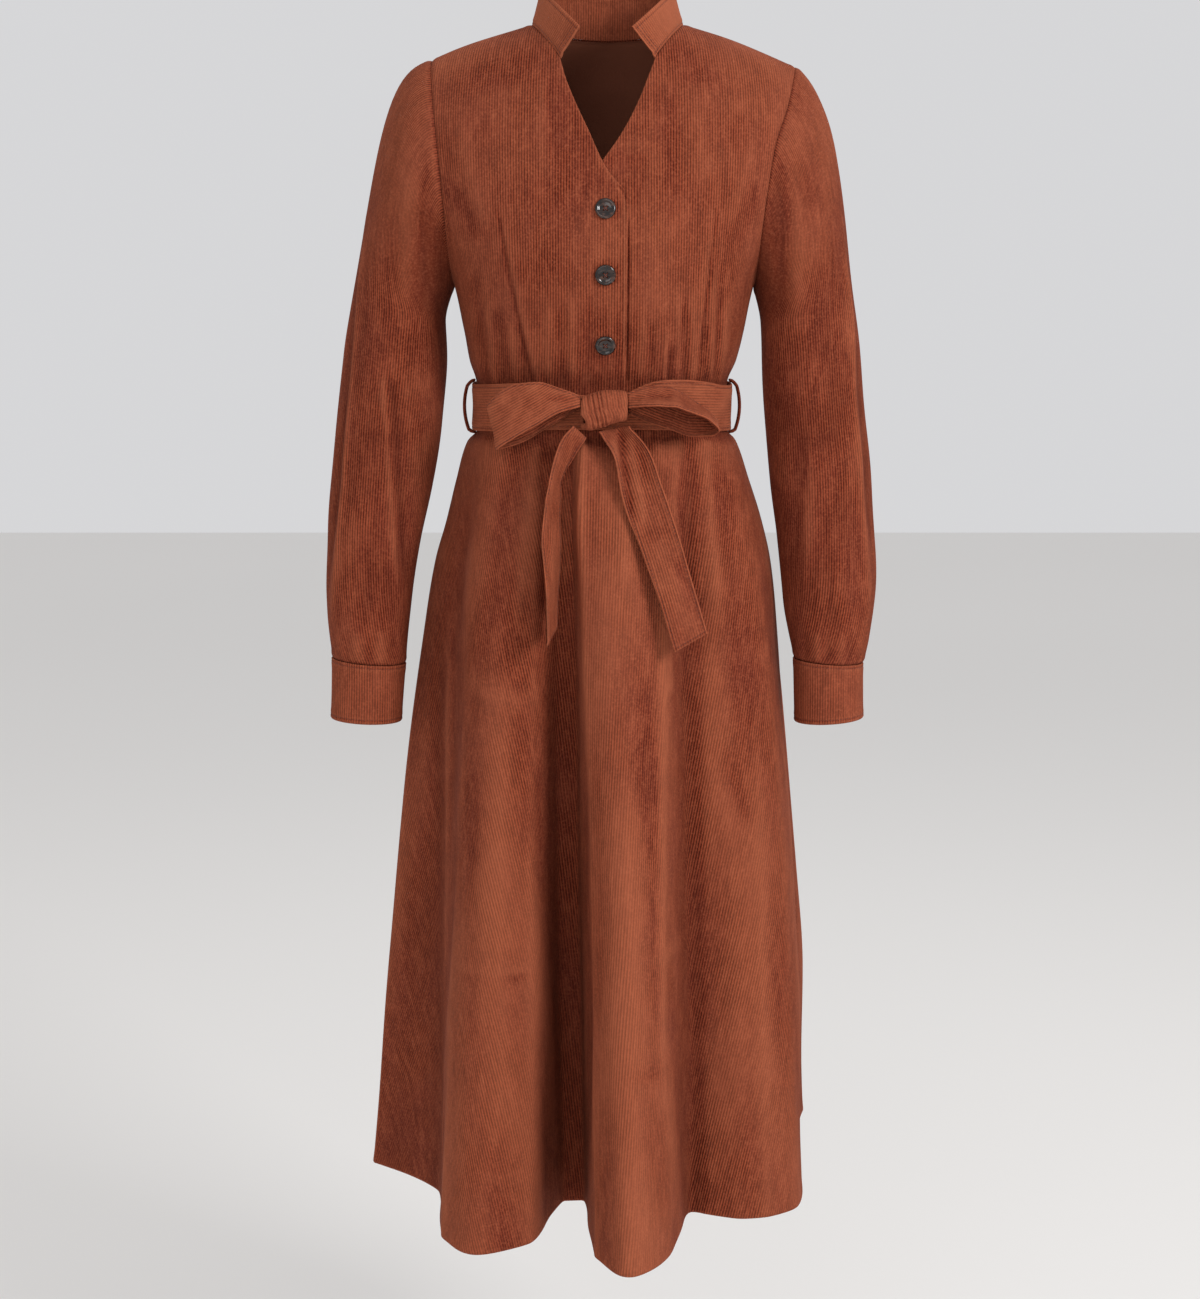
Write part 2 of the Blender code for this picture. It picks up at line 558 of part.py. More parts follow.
def knot_section(along):
    return [read(KNOT, KNOT_COLUMNS, name, along) for name in KNOT_COLUMNS[1:]]


def knot_underside(x):
    """Height of the knot's lowest line at x."""
    half_height, _, drop = knot_section(np.clip(np.asarray(x) / KNOT_HALF_LENGTH, -1, 1))
    return KNOT_MIDDLE[2] - drop - half_height * (1 + KNOT_RIDGE)


def knot_mesh():
    """The wrapped knot: rings round its length with slanting ridges, closed by flat ends."""
    mesh = bmesh.new()
    rings = []
    for along in np.linspace(-1, 1, KNOT_RINGS):
        half_height, half_depth, drop = knot_section(along)
        ring = []
        for turn in np.linspace(0, 2 * math.pi, KNOT_SIDES, endpoint=False):
            ridge = 1 + KNOT_RIDGE * math.cos(KNOT_RIDGES * turn - KNOT_TWIST * along) * (1 - along**4)
            ahead, up = (math.copysign(abs(k) ** KNOT_SQUARE, k) for k in (math.cos(turn), math.sin(turn)))
            y = KNOT_MIDDLE[1] - half_depth * ridge * ahead
            z = KNOT_MIDDLE[2] - drop + half_height * ridge * up
            ring.append(mesh.verts.new((KNOT_MIDDLE[0] + KNOT_HALF_LENGTH * along, y, z)))
        rings.append(ring)
    for a, b in zip(rings, rings[1:]):
        for k in range(KNOT_SIDES):
            m = (k + 1) % KNOT_SIDES
            mesh.faces.new((a[k], a[m], b[m], b[k]))
    mesh.faces.new(rings[0][::-1])
    mesh.faces.new(rings[-1])
    bmesh.ops.recalc_face_normals(mesh, faces=mesh.faces)
    return mesh


def tail_panel(table, rows, columns, trough):
    grid = band_panel(table, rows, columns, trough)
    grid[0, :, 2] = knot_underside(grid[0, :, 0]) - SEAM_GAP
    return grid


def belt_loop_panel(side):
    """A narrow strip over the belt at the side seam. Its ends lie on the cloth and its middle bows out."""
    angle = side * math.pi / 2
    belt = torso(angle, WAIST)[0] + side * BELT_STANDOFF
    bodice, hip = torso(angle, BELT_LOOP_TOP)[0], skirt(angle, BELT_LOOP_FOOT)[0]
    share = np.linspace(0, 1, BELT_LOOP_ROWS + 1)
    z = BELT_LOOP_TOP + (BELT_LOOP_FOOT - BELT_LOOP_TOP) * share
    stops = (BELT_LOOP_FOOT, BELT_FOOT, BELT_TOP - BELT_DROP, BELT_LOOP_TOP)
    x = np.interp(z, stops, (hip, belt, belt, bodice))
    x = x + side * (2 * SEAM_GAP + DOUBLE_WALL + BELT_LOOP_BOW * np.sin(math.pi * share))
    ys = np.linspace(-0.5, 0.5, 3) * BELT_LOOP_WIDTH
    return np.stack([np.stack([x, np.full_like(x, y), z], -1) for y in ys[::-side]], 1)


# ---- buttons ---------------------------------------------------------------------------------------------


def button_mesh():
    """A turned disc with a raised rim, standing on its back at the origin with its face up +Z."""
    radius, thick = BUTTON_DIAMETER / 2, BUTTON_THICKNESS
    profile = [
        (0.0, 0.62 * thick),
        (0.55 * radius, 0.60 * thick),
        (0.66 * radius, 0.82 * thick),
        (0.80 * radius, 1.00 * thick),
        (0.94 * radius, 0.86 * thick),
        (1.00 * radius, 0.50 * thick),
        (0.90 * radius, 0.10 * thick),
        (0.70 * radius, 0.0),
        (0.0, 0.0),
    ]
    mesh = bmesh.new()
    verts = [mesh.verts.new((r, 0.0, z)) for r, z in profile]
    edges = [mesh.edges.new(pair) for pair in zip(verts, verts[1:])]
    spun = {"geom": verts + edges, "axis": (0, 0, 1), "cent": (0, 0, 0), "angle": 2 * math.pi}
    bmesh.ops.spin(mesh, steps=BUTTON_SIDES, **spun)
    bmesh.ops.remove_doubles(mesh, verts=mesh.verts, dist=1e-5)
    bmesh.ops.recalc_face_normals(mesh, faces=mesh.faces)
    return mesh


def hole_mesh():
    mesh = bmesh.new()
    for k in range(4):
        turn = math.pi / 4 + k * math.pi / 2
        x, y = HOLE_CIRCLE * math.cos(turn), HOLE_CIRCLE * math.sin(turn)
        bmesh.ops.create_cone(
            mesh,
            cap_ends=True,
            segments=8,
            radius1=HOLE_RADIUS,
            radius2=HOLE_RADIUS,
            depth=3 * BUTTON_THICKNESS,
            matrix=Matrix.Translation((x, y, BUTTON_THICKNESS / 2)),
        )
    return mesh


def add_button(name, height, finish):
    """A four-hole button on the lapped front, square to the cloth under it."""
    x = BUTTON_MIDDLE
    here, above, beside = (
        torso(angle_at(x + dx, height + dz), height + dz) for dx, dz in ((0, 0), (0, 0.01), (0.01, 0))
    )
    facing = Vector(np.cross(beside - here, above - here)).normalized()
    turn = facing.to_track_quat("Z", "Y").to_matrix().to_4x4()
    stand = Vector(here) + facing * BUTTON_STANDOFF
    button = add_object(name, button_mesh(), finish)
    button.matrix_world = Matrix.Translation(stand) @ turn
    cutter = add_object(name + "_holes", hole_mesh(), finish)
    cutter.matrix_world = button.matrix_world.copy()
    cutter.hide_render = True
    cutter.display_type = "WIRE"
    cut = button.modifiers.new("holes", "BOOLEAN")
    cut.operation = "DIFFERENCE"
    cut.object = cutter


# ---- closed solids from grids of outer points ------------------------------------------------------------


class Cloth:
    """One piece of cloth by the grid of points on its outer face. Columns times rows points outward, or
    inward on a turned grid. A ring joins its last column to its first. Level rows keep their wall level."""

    def __init__(self, name, points, wall=WALL, ring=False, turned=False, level=()):
        self.name, self.points, self.wall, self.ring = name, np.asarray(points, float), wall, ring
        self.turned, self.level = turned, level


def place_key(point):
    return tuple(np.round(np.asarray(point) * 20000).astype(int))


def face_normals(cloth):
    """Area-weighted normals at the grid's points, from this piece alone."""
    p = cloth.points
    if cloth.ring:
        p = np.concatenate([p, p[:, :1]], 1)
    a, b, c, d = p[:-1, :-1], p[:-1, 1:], p[1:, 1:], p[1:, :-1]
    cross = np.cross(c - a, d - b)
    total = np.zeros_like(p)
    low, high = slice(0, -1), slice(1, None)
    for rows, columns in ((low, low), (low, high), (high, high), (high, low)):
        total[rows, columns] += cross
    if cloth.ring:
        total[:, 0] += total[:, -1]
        total = total[:, :-1]
    return -total if cloth.turned else total


def rim_points(cloth):
    rows, columns = cloth.points.shape[:2]
    for i in range(rows):
        for j in range(columns):
            if i in (0, rows - 1) or (not cloth.ring and j in (0, columns - 1)):
                yield i, j


def angle_round(cloth, i, j):
    """The angle that this piece fills round a point on its rim."""
    rows, columns = cloth.points.shape[:2]
    steps = [(-1, 0), (0, 1), (1, 0), (0, -1), (-1, 0)]
    total = 0.0
    for (a, b), (c, d) in zip(steps, steps[1:]):
        if not (0 <= i + a < rows and 0 <= i + c < rows):
            continue
        if not cloth.ring and not (0 <= j + b < columns and 0 <= j + d < columns):
            continue
        arms = [cloth.points[i + m, (j + n) % columns] - cloth.points[i, j] for m, n in ((a, b), (c, d))]
        cosine = np.dot(*arms) / max(np.linalg.norm(arms[0]) * np.linalg.norm(arms[1]), 1e-12)
        total += math.acos(min(1.0, max(-1.0, cosine)))
    return total


def share_normals(cloths):
    """Normals for every piece. Where two pieces share a point at a seam they share its normal too."""
    normals = [face_normals(cloth) for cloth in cloths]
    shared = {}
    for cloth, normal in zip(cloths, normals):
        for i, j in rim_points(cloth):
            key = place_key(cloth.points[i, j])
            unit = normal[i, j] / max(np.linalg.norm(normal[i, j]), 1e-12)
            shared.setdefault(key, []).append(unit * angle_round(cloth, i, j))
    for cloth, normal in zip(cloths, normals):
        for i, j in rim_points(cloth):
            normal[i, j] = np.sum(shared[place_key(cloth.points[i, j])], 0)
        for row in cloth.level:
            normal[row, :, 2] = 0
        length = np.linalg.norm(normal, axis=-1, keepdims=True)
        normal /= np.maximum(length, 1e-12)
    return normals


def pulled_in(cloth):
    """The grid with its rim drawn back by half a seam gap, towards the next row or column in."""
    p = cloth.points.copy()
    half = SEAM_GAP / 2

    def towards(start, end):
        step = end - start
        return step / np.maximum(np.linalg.norm(step, axis=-1, keepdims=True), 1e-12)

    source = cloth.points
    p[0] += half * towards(source[0], source[1])
    p[-1] += half * towards(source[-1], source[-2])
    if not cloth.ring:
        p[:, 0] += half * towards(source[:, 0], source[:, 1])
        p[:, -1] += half * towards(source[:, -1], source[:, -2])
    return p


def cloth_mesh(cloth, normals):
    outer = pulled_in(cloth)
    inner = outer - normals * cloth.wall
    rows, columns = outer.shape[:2]
    mesh = bmesh.new()
    out, back = ([[mesh.verts.new(point) for point in row] for row in layer] for layer in (outer, inner))

    def quad(*corners):
        mesh.faces.new(corners if not cloth.turned else corners[::-1])

    def rim(a, b, b_back, a_back):
        """Two triangles. Their diagonal starts at the lower outer corner, as on the piece across the seam."""
        if (a.co.z, a.co.y) < (b.co.z, b.co.y):
            quad(a, b, b_back)
            quad(a, b_back, a_back)
        else:
            quad(a, b, a_back)
            quad(b, b_back, a_back)

    across = range(columns if cloth.ring else columns - 1)
    for i in range(rows - 1):
        for j in across:
            k = (j + 1) % columns
            quad(out[i][j], out[i][k], out[i + 1][k], out[i + 1][j])
            quad(back[i][j], back[i + 1][j], back[i + 1][k], back[i][k])
    for j in across:
        k = (j + 1) % columns
        rim(out[0][k], out[0][j], back[0][j], back[0][k])
        rim(out[-1][j], out[-1][k], back[-1][k], back[-1][j])
    if not cloth.ring:
        for i in range(rows - 1):
            rim(out[i][0], out[i + 1][0], back[i + 1][0], back[i][0])
            rim(out[i + 1][-1], out[i][-1], back[i][-1], back[i + 1][-1])
    return mesh


# ---- materials -------------------------------------------------------------------------------------------


def material(name, colour, roughness):
    made = bpy.data.materials.new(name)
    made.use_nodes = True
    shader = made.node_tree.nodes["Principled BSDF"]
    shader.inputs["Base Color"].default_value = (*colour, 1.0)
    shader.inputs["Roughness"].default_value = roughness
    shader.inputs["Metallic"].default_value = 0.0
    return made


def add_object(name, mesh, finish):
    data = bpy.data.meshes.new(name)
    mesh.to_mesh(data)
    mesh.free()
    data.shade_smooth()
    data.set_sharp_from_angle(angle=math.radians(50))
    thing = bpy.data.objects.new(name, data)
    data.materials.append(finish)
    bpy.context.collection.objects.link(thing)
    return thing


# ---- the dress -------------------------------------------------------------------------------------------


def clear_scene():
    for thing in list(bpy.data.objects):
        bpy.data.objects.remove(thing, do_unlink=True)


def make_cloths():
    front_right, front_left, back = front_panel(-1), under_the_lap(front_panel(1)), back_panel()
    across = BAND_COLUMNS_ACROSS
    return [
        Cloth("bodice_front_right", front_right, level=(0,)),
        Cloth("bodice_front_left", front_left, level=(0,)),
        Cloth("bodice_back", back, level=(0,)),
        Cloth("collar", collar_panel(front_left, front_right, back), wall=DOUBLE_WALL),
        Cloth("sleeve_right", sleeve_panel(-1, front_right, back), ring=True, turned=True),
        Cloth("sleeve_left", sleeve_panel(1, front_left, back), ring=True),
        Cloth("cuff_right", cuff_panel(-1), wall=DOUBLE_WALL, ring=True, turned=True),
        Cloth("cuff_left", cuff_panel(1), wall=DOUBLE_WALL, ring=True),
        Cloth("skirt_front", skirt_panel(FRONT_FOLDS), level=(0, -1)),
        Cloth("skirt_back", skirt_panel(BACK_FOLDS), level=(0, -1)),
        Cloth("belt_band", belt_panel(), wall=DOUBLE_WALL, ring=True, level=(0, 1, 2)),
        Cloth("bow_loop_right", band_panel(LOOP_RIGHT, LOOP_ROWS, across), wall=DOUBLE_WALL),
        Cloth("bow_loop_left", band_panel(LOOP_LEFT, LOOP_ROWS, across), wall=DOUBLE_WALL, turned=True),
        Cloth("bow_tail_right", tail_panel(TAIL_RIGHT, TAIL_ROWS, across, 0.0), wall=DOUBLE_WALL),
        Cloth("bow_tail_left", tail_panel(TAIL_LEFT, TAIL_ROWS, across + 1, TAIL_TROUGH), wall=DOUBLE_WALL),
        Cloth("belt_loop_right", belt_loop_panel(-1), wall=DOUBLE_WALL),
        Cloth("belt_loop_left", belt_loop_panel(1), wall=DOUBLE_WALL),
    ]


clear_scene()
corduroy = material("Rust corduroy", (0.24, 0.055, 0.026), 0.9)
horn = material("Horn-look plastic", (0.035, 0.018, 0.014), 0.25)
cloths = make_cloths()
for cloth, normals in zip(cloths, share_normals(cloths)):
    add_object(cloth.name, cloth_mesh(cloth, normals), corduroy)
add_object("bow_knot", knot_mesh(), corduroy)
for number, height in enumerate(BUTTON_HEIGHTS, 1):
    add_button(f"button_{number}", height, horn)
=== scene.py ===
"""Belted midi dress in rust corduroy, worn: camera and room, then the garment in the order it is sewn.

Metres, +Z up, the front faces -Y and the wearer's left is +X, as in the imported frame.
"""

import math

import bpy
import numpy as np
from mathutils import Matrix, Vector


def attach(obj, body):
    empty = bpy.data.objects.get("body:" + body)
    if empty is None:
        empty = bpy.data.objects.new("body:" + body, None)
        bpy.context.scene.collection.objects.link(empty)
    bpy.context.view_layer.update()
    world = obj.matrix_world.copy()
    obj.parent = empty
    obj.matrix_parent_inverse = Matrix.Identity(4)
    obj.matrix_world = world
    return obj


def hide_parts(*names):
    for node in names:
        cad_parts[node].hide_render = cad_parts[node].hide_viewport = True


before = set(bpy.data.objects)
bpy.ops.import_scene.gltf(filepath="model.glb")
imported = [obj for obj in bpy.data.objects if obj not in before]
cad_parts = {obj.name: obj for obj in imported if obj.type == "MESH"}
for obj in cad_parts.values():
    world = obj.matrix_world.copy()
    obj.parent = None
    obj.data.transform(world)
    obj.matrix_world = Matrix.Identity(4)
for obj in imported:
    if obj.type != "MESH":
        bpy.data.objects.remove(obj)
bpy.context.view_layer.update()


# ---- camera ----------------------------------------------------------------------------------------------
# It stands 2.4 m in front of the dress, a little below shoulder height, tilted down.

CAMERA_PLACE = (-0.004, -2.4, -0.2096)
CAMERA_TILT = 9.9  # degrees below level
CAMERA_LENS = 65.13  # mm, on a frame whose long side is 36 mm

lens = bpy.data.cameras.new("camera")
lens.lens, lens.sensor_width, lens.sensor_fit = CAMERA_LENS, 36.0, "AUTO"
camera = bpy.data.objects.new("camera", lens)
camera.location = CAMERA_PLACE
camera.rotation_euler = (math.radians(90 - CAMERA_TILT), 0, 0)
bpy.context.scene.collection.objects.link(camera)
bpy.context.scene.camera = camera


# ---- room ------------------------------------------------------------------------------------------------
# A pale matt floor well below the hem, an even pale surround and three soft boxes, as in a small studio.
# Painted board: no gloss, so the floor only takes a faint shadow.

FLOOR_HEIGHT, FLOOR_HALF = -1.62, 9.0
SURROUND_LIGHT = 0.70
SOFT_BOXES = [  # place, size, watts
    ((2.2, -2.2, 1.0), 1.0, 62.0),
    ((-0.6, -2.7, 0.2), 1.4, 11.0),
    ((0.3, 1.9, 1.5), 1.8, 14.0),
]
LIT_POINT = (0.0, 0.0, -0.6)
bpy.context.scene.view_settings.view_transform = "Standard"


def linear(code):
    """sRGB hex code to linear red, green, blue and opaque alpha."""
    parts = [int(code[k : k + 2], 16) / 255 for k in (1, 3, 5)]
    return (*[p / 12.92 if p <= 0.04045 else ((p + 0.055) / 1.055) ** 2.4 for p in parts], 1.0)


def add_node(tree, kind, feeds=None, **settings):
    """A node with its settings. A feed is a number, a colour or another node's output socket."""
    made = tree.nodes.new("ShaderNode" + kind)
    for name, value in settings.items():
        setattr(made, name, value)
    for socket, value in (feeds or {}).items():
        if isinstance(value, bpy.types.NodeSocket):
            tree.links.new(value, made.inputs[socket])
        else:
            made.inputs[socket].default_value = value
    return made


def new_material(name, **shader):
    """A material and its shader, with the settings that are the same all over the surface."""
    made = bpy.data.materials.new(name)
    made.use_nodes = True
    surface = made.node_tree.nodes["Principled BSDF"]
    for socket, value in shader.items():
        surface.inputs[socket.replace("_", " ").title().replace("Ior", "IOR")].default_value = value
    return made, made.node_tree, surface


def mesh_object(name, verts, faces, material, corners=None):
    """A smooth-shaded mesh. corners holds each face corner's place on the flat cloth, in metres."""
    data = bpy.data.meshes.new(name)
    data.from_pydata([tuple(v) for v in verts], [], [tuple(f) for f in faces])
    if corners is not None:
        data.uv_layers.new(name="grain").data.foreach_set("uv", np.asarray(corners, np.float32).ravel())
    data.shade_smooth()
    data.materials.append(material)
    made = bpy.data.objects.new(name, data)
    bpy.context.scene.collection.objects.link(made)
    return made


board, tree, surface = new_material("Painted board floor", roughness=0.9)
mottle = add_node(tree, "TexNoise", {"Scale": 3.0, "Detail": 3.0})
tone = add_node(tree, "ValToRGB", {"Fac": mottle.outputs["Fac"]})
tone.color_ramp.elements[0].color, tone.color_ramp.elements[1].color = linear("#e9e7e4"), linear("#f1efec")
tree.links.new(tone.outputs["Color"], surface.inputs["Base Color"])
corners = [(FLOOR_HALF * x, FLOOR_HALF * y, FLOOR_HEIGHT) for x, y in ((-1, -1), (1, -1), (1, 1), (-1, 1))]
mesh_object("floor", corners, [(0, 1, 2, 3)], board)

surround = bpy.data.worlds.new("pale surround")
surround.use_nodes = True
sky = surround.node_tree.nodes["Background"]
sky.inputs["Color"].default_value = linear("#fbfbfd")
sky.inputs["Strength"].default_value = SURROUND_LIGHT
bpy.context.scene.world = surround
for number, (place, size, watts) in enumerate(SOFT_BOXES, 1):
    lamp = bpy.data.lights.new(f"soft_box_{number}", "AREA")
    lamp.shape, lamp.size, lamp.energy = "SQUARE", size, watts
    stand = bpy.data.objects.new(lamp.name, lamp)
    stand.location = place
    stand.rotation_euler = (Vector(LIT_POINT) - Vector(place)).to_track_quat("-Z", "Y").to_euler()
    bpy.context.scene.collection.objects.link(stand)


# ---- bodice ----------------------------------------------------------------------------------------------
# Two fronts and a back in cotton corduroy, sewn at the shoulders and sides. The wearer's right front laps
# over the left. A long dart in each front takes it in to the waist, and the V edges are turned and pressed.

WALL, SEAM_GAP = 0.0016, 0.0003
WAIST, ROUND = -0.373, 2.3
NECK_SIDE, NECK_SHIFT = {-1: 0.0715, 1: 0.0785}, 0.0035
SHOULDER_TIP, SHOULDER_RISE, SHOULDER_ROUND = {-1: (0.1710, -0.0345), 1: (0.1900, -0.0405)}, 0.002, 0.075
ARMPIT, ARMHOLE_EASE = -0.256, 1.55
NECK_CURVE, BACK_NECK_DROP = 1.2, 0.010
LAP_EDGE, LAP_CLEARANCE, V_FOOT = 0.0205, 0.0010, -0.1640
LAP_REACH, LAP_TOP, LAP_FADE = 0.0500, -0.1180, 0.0200
NOTCH = {-1: (0.0428, -0.0362), 1: (0.0498, -0.0355)}
BELT_TOP, BELT_DROP = -0.347, 0.0065
SIDE_ROWS, ARMHOLE_ROWS, PLACKET_ROWS, V_ROWS, NECK_ROWS = 5, 10, 7, 5, 3
FRONT_COLUMNS, BACK_NECK_COLUMNS = 10, 6

BODY = [  # height, half width, front depth, back depth, lean to the side
    (-0.4000, 0.1266, 0.0912, 0.0826, -0.0020),
    (-0.3730, 0.1266, 0.0912, 0.0826, -0.0020),
    (-0.3540, 0.1268, 0.0914, 0.0828, -0.0020),
    (-0.3300, 0.1350, 0.1010, 0.0870, -0.0010),
    (-0.3000, 0.1415, 0.1130, 0.0950, 0.0),
    (-0.2560, 0.1505, 0.1270, 0.1060, 0.0),
    (-0.2100, 0.1680, 0.1320, 0.1130, 0.0),
    (-0.1500, 0.1900, 0.1210, 0.1150, 0.0),
    (-0.1000, 0.2020, 0.1020, 0.1090, 0.0),
    (-0.0500, 0.2080, 0.0800, 0.0900, 0.0),
    (0.0100, 0.2100, 0.0600, 0.0660, 0.0),
]
ARMHOLE = [  # height, distance of the seam from the middle on the right and on the left
    (-0.2560, 0.1505, 0.1505),
    (-0.2200, 0.1545, 0.1535),
    (-0.1700, 0.1578, 0.1590),
    (-0.1200, 0.1625, 0.1672),
    (-0.0800, 0.1672, 0.1805),
    (-0.0405, 0.1708, 0.1900),
    (-0.0345, 0.1710, 0.1912),
]
V_EDGE = [  # height, reach towards the other front on the right and on the left
    (-0.1640, 0.0205, 0.0250),
    (-0.1427, 0.0028, 0.0080),
    (-0.1067, -0.0145, -0.0180),
    (-0.0770, -0.0285, -0.0335),
    (-0.0538, -0.0377, -0.0428),
    (-0.0355, -0.0428, -0.0498),
]
# Creases as seen from the front or from behind: three points (x, z), half width and height, in millimetres.
# Height below 0 is a trough. The middle point bends the line and isn't on it.
FRONT_CREASES = [
    (-103, -176, -90, -262, -70, -347, 1.5, -2.4),  # right dart
    (-98, -186, -85, -262, -64, -347, 4.5, 1.0),
    (109, -178, 99, -265, 93, -347, 1.5, -2.2),  # left dart
    (104, -188, 94, -265, 88, -347, 4.5, 1.0),
    (22.7, -186, 22.7, -260, 22.7, -347, 1.2, -3.0),  # shadow line beside the lap's edge, and its worn edge
    (19.4, -170, 19.4, -260, 19.4, -347, 1.1, 1.1),
    (12, -158, 18, -166, 26, -178, 1.8, -1.6),  # the lap pulls a little below the V
    (60, -290, 60, -322, 59.5, -347, 2.2, 2.0),  # small folds above the belt, most of them on the left
    (64, -306, 64, -326, 63.5, -347, 1.6, -2.8),
    (70, -250, 72, -300, 73, -347, 3.0, 1.2),
    (78, -262, 79, -305, 79, -347, 3.0, -1.7),
    (86, -250, 87, -300, 86, -347, 3.0, 1.2),
    (99, -276, 100, -315, 101, -347, 3.0, -1.6),
    (106, -230, 107, -290, 106, -347, 3.4, 1.6),
    (113, -250, 112, -300, 111, -347, 4.0, -1.6),
    (120, -262, 118, -300, 116, -347, 4.0, 1.7),
    (45, -286, 46, -318, 45, -347, 3.4, -1.3),
    (38, -280, 37, -312, 36, -347, 4.0, 1.1),
    (6, -255, 7, -300, 6, -347, 3.0, 0.8),
    (-14, -250, -14, -300, -15, -347, 3.0, -0.9),
    (-30, -262, -31, -305, -31, -347, 3.4, 1.0),
    (-42, -270, -43, -310, -42, -347, 3.6, -1.2),
    (-54, -262, -55, -308, -54, -347, 3.4, 1.1),
    (-80, -300, -79, -322, -77, -347, 3.2, -1.3),
    (-92, -286, -89, -318, -86, -347, 3.6, 1.2),
    (-104, -275, -101, -312, -98, -347, 4.0, -1.5),
    (-114, -262, -112, -305, -109, -347, 4.0, 1.4),
    (-126, -240, -122, -292, -117, -347, 5.0, -1.3),
    (-52, -50, -50, -100, -44, -150, 8.0, -1.0),  # ease below the shoulders and beside the bust
    (-60, -55, -60, -105, -56, -160, 7.0, 0.9),
    (64, -60, 66, -115, 62, -170, 11.0, -1.0),
    (88, -60, 92, -115, 94, -175, 9.0, 0.9),
    (-140, -95, -128, -150, -112, -200, 9.0, 1.4),
    (-150, -150, -136, -185, -118, -215, 8.0, -1.2),
    (148, -100, 134, -150, 118, -205, 9.0, 1.4),
    (150, -155, 138, -190, 122, -220, 8.0, -1.4),
]
BACK_CREASES = [
    (-92, -150, -88, -250, -66, -346, 4.0, -1.3),
    (96, -150, 92, -250, 70, -346, 4.0, -1.3),
    (0, -250, 4, -300, 2, -346, 10.0, 1.6),
    (-34, -285, -32, -320, -30, -346, 6.0, -1.4),
    (38, -280, 37, -315, 34, -346, 6.0, -1.4),
    (-150, -140, -120, -175, -90, -190, 10.0, 1.6),
    (150, -138, 118, -172, 88, -192, 10.0, 1.6),
    (-112, -270, -106, -310, -98, -346, 6.0, 1.5),
    (114, -268, 108, -308, 100, -346, 6.0, 1.5),
]


def smooth(stations, values, at):
    """Monotone cubic through the values at the stations: rounded, with no overshoot."""
    x, y, at = np.asarray(stations, float), np.asarray(values, float), np.asarray(at, float)
    if x[0] > x[-1]:
        x, y = x[::-1], y[::-1]
    step, slope = np.diff(x), np.diff(y) / np.diff(x)
    before, after = slope[:-1], slope[1:]
    same = before * after > 0
    weigh_before, weigh_after = 2 * step[1:] + step[:-1], step[1:] + 2 * step[:-1]
    pull = weigh_before / np.where(same, before, 1) + weigh_after / np.where(same, after, 1)
    inner = np.where(same, (weigh_before + weigh_after) / np.where(same, pull, 1), 0)
    tangent = np.concatenate([slope[:1], inner, slope[-1:]])
    i = np.clip(np.searchsorted(x, at, side="right") - 1, 0, len(x) - 2)
    h = step[i]
    t = np.clip((at - x[i]) / h, 0.0, 1.0)
    blend = (1 + 2 * t) * (1 - t) ** 2 * y[i] + t * (1 - t) ** 2 * h * tangent[i]
    return blend + t * t * (3 - 2 * t) * y[i + 1] + t * t * (t - 1) * h * tangent[i + 1]


def read(table, place, at):
    """Column of a table, read at heights or lengths given by its first column."""
    rows = np.array(table, float)
    return smooth(rows[:, 0], rows[:, place], at)


def shoulder_line(x):
    """Height of the shoulder seam above each x."""
    right = np.asarray(x) < 0
    neck_x = np.where(right, NECK_SIDE[-1], NECK_SIDE[1])
    tip_x, tip_z = (np.where(right, SHOULDER_TIP[-1][k], SHOULDER_TIP[1][k]) for k in (0, 1))
    share = (np.abs(x) - neck_x) / (tip_x - neck_x)
    return tip_z * share + SHOULDER_RISE * np.sin(math.pi * np.clip(share, 0, 1))


def torso(angle, height):
    """Points of the worn bodice. The angle runs from the front middle towards the wearer's left."""
    angle, height = np.broadcast_arrays(np.asarray(angle, float), np.asarray(height, float))
    sine, cosine = np.sin(angle), np.cos(angle)
    half, front, back, lean = (read(BODY, k, height) for k in (1, 2, 3, 4))
    x = half * np.sign(sine) * np.abs(sine) ** (2 / ROUND)
    depth = np.where(cosine > 0, front, back) * np.abs(cosine) ** (2 / ROUND)
    below = np.clip((shoulder_line(x) - height) / SHOULDER_ROUND, 0.0, 1.0)
    depth = depth * np.sqrt(1 - (1 - below) ** 2)
    return np.stack([x + lean, -np.sign(cosine) * depth, height], -1)


def angle_at(x, height, behind=False):
    side = (np.asarray(x, float) - read(BODY, 4, height)) / read(BODY, 1, height)
    turn = np.arcsin(np.clip(np.abs(side) ** (ROUND / 2), 0, 1)) * np.sign(side)
    return math.pi - turn if behind else turn


def edge_line(heights, xs, behind=False):
    heights = np.asarray(heights, float)
    return np.stack([angle_at(np.asarray(xs, float), heights, behind), heights], -1)


def spaced(count, fine, close=(0.05, 0.11, 0.19, 0.3)):
    """Places along a grid of `count` steps, each cut in `fine`, with more of them near both ends."""
    ends = [k for c in close for k in (c, count - c)]
    return np.unique(np.round(np.concatenate([np.linspace(0, count, count * fine + 1), ends]), 6))


def at_rows(stops, rows):
    return np.interp(rows, np.arange(len(stops)), stops)


def patch(bottom, top, left, right, s, t):
    """Coons patch between four edges, each an array of (angle, height) at the shares s and t."""
    s, t = (s / s[-1])[None, :, None], (t / t[-1])[:, None, None]
    ruled = (1 - t) * bottom[None] + t * top[None] + (1 - s) * left[:, None] + s * right[:, None]
    low, high = (1 - s) * bottom[0] + s * bottom[-1], (1 - s) * top[0] + s * top[-1]
    return ruled - (1 - t) * low - t * high


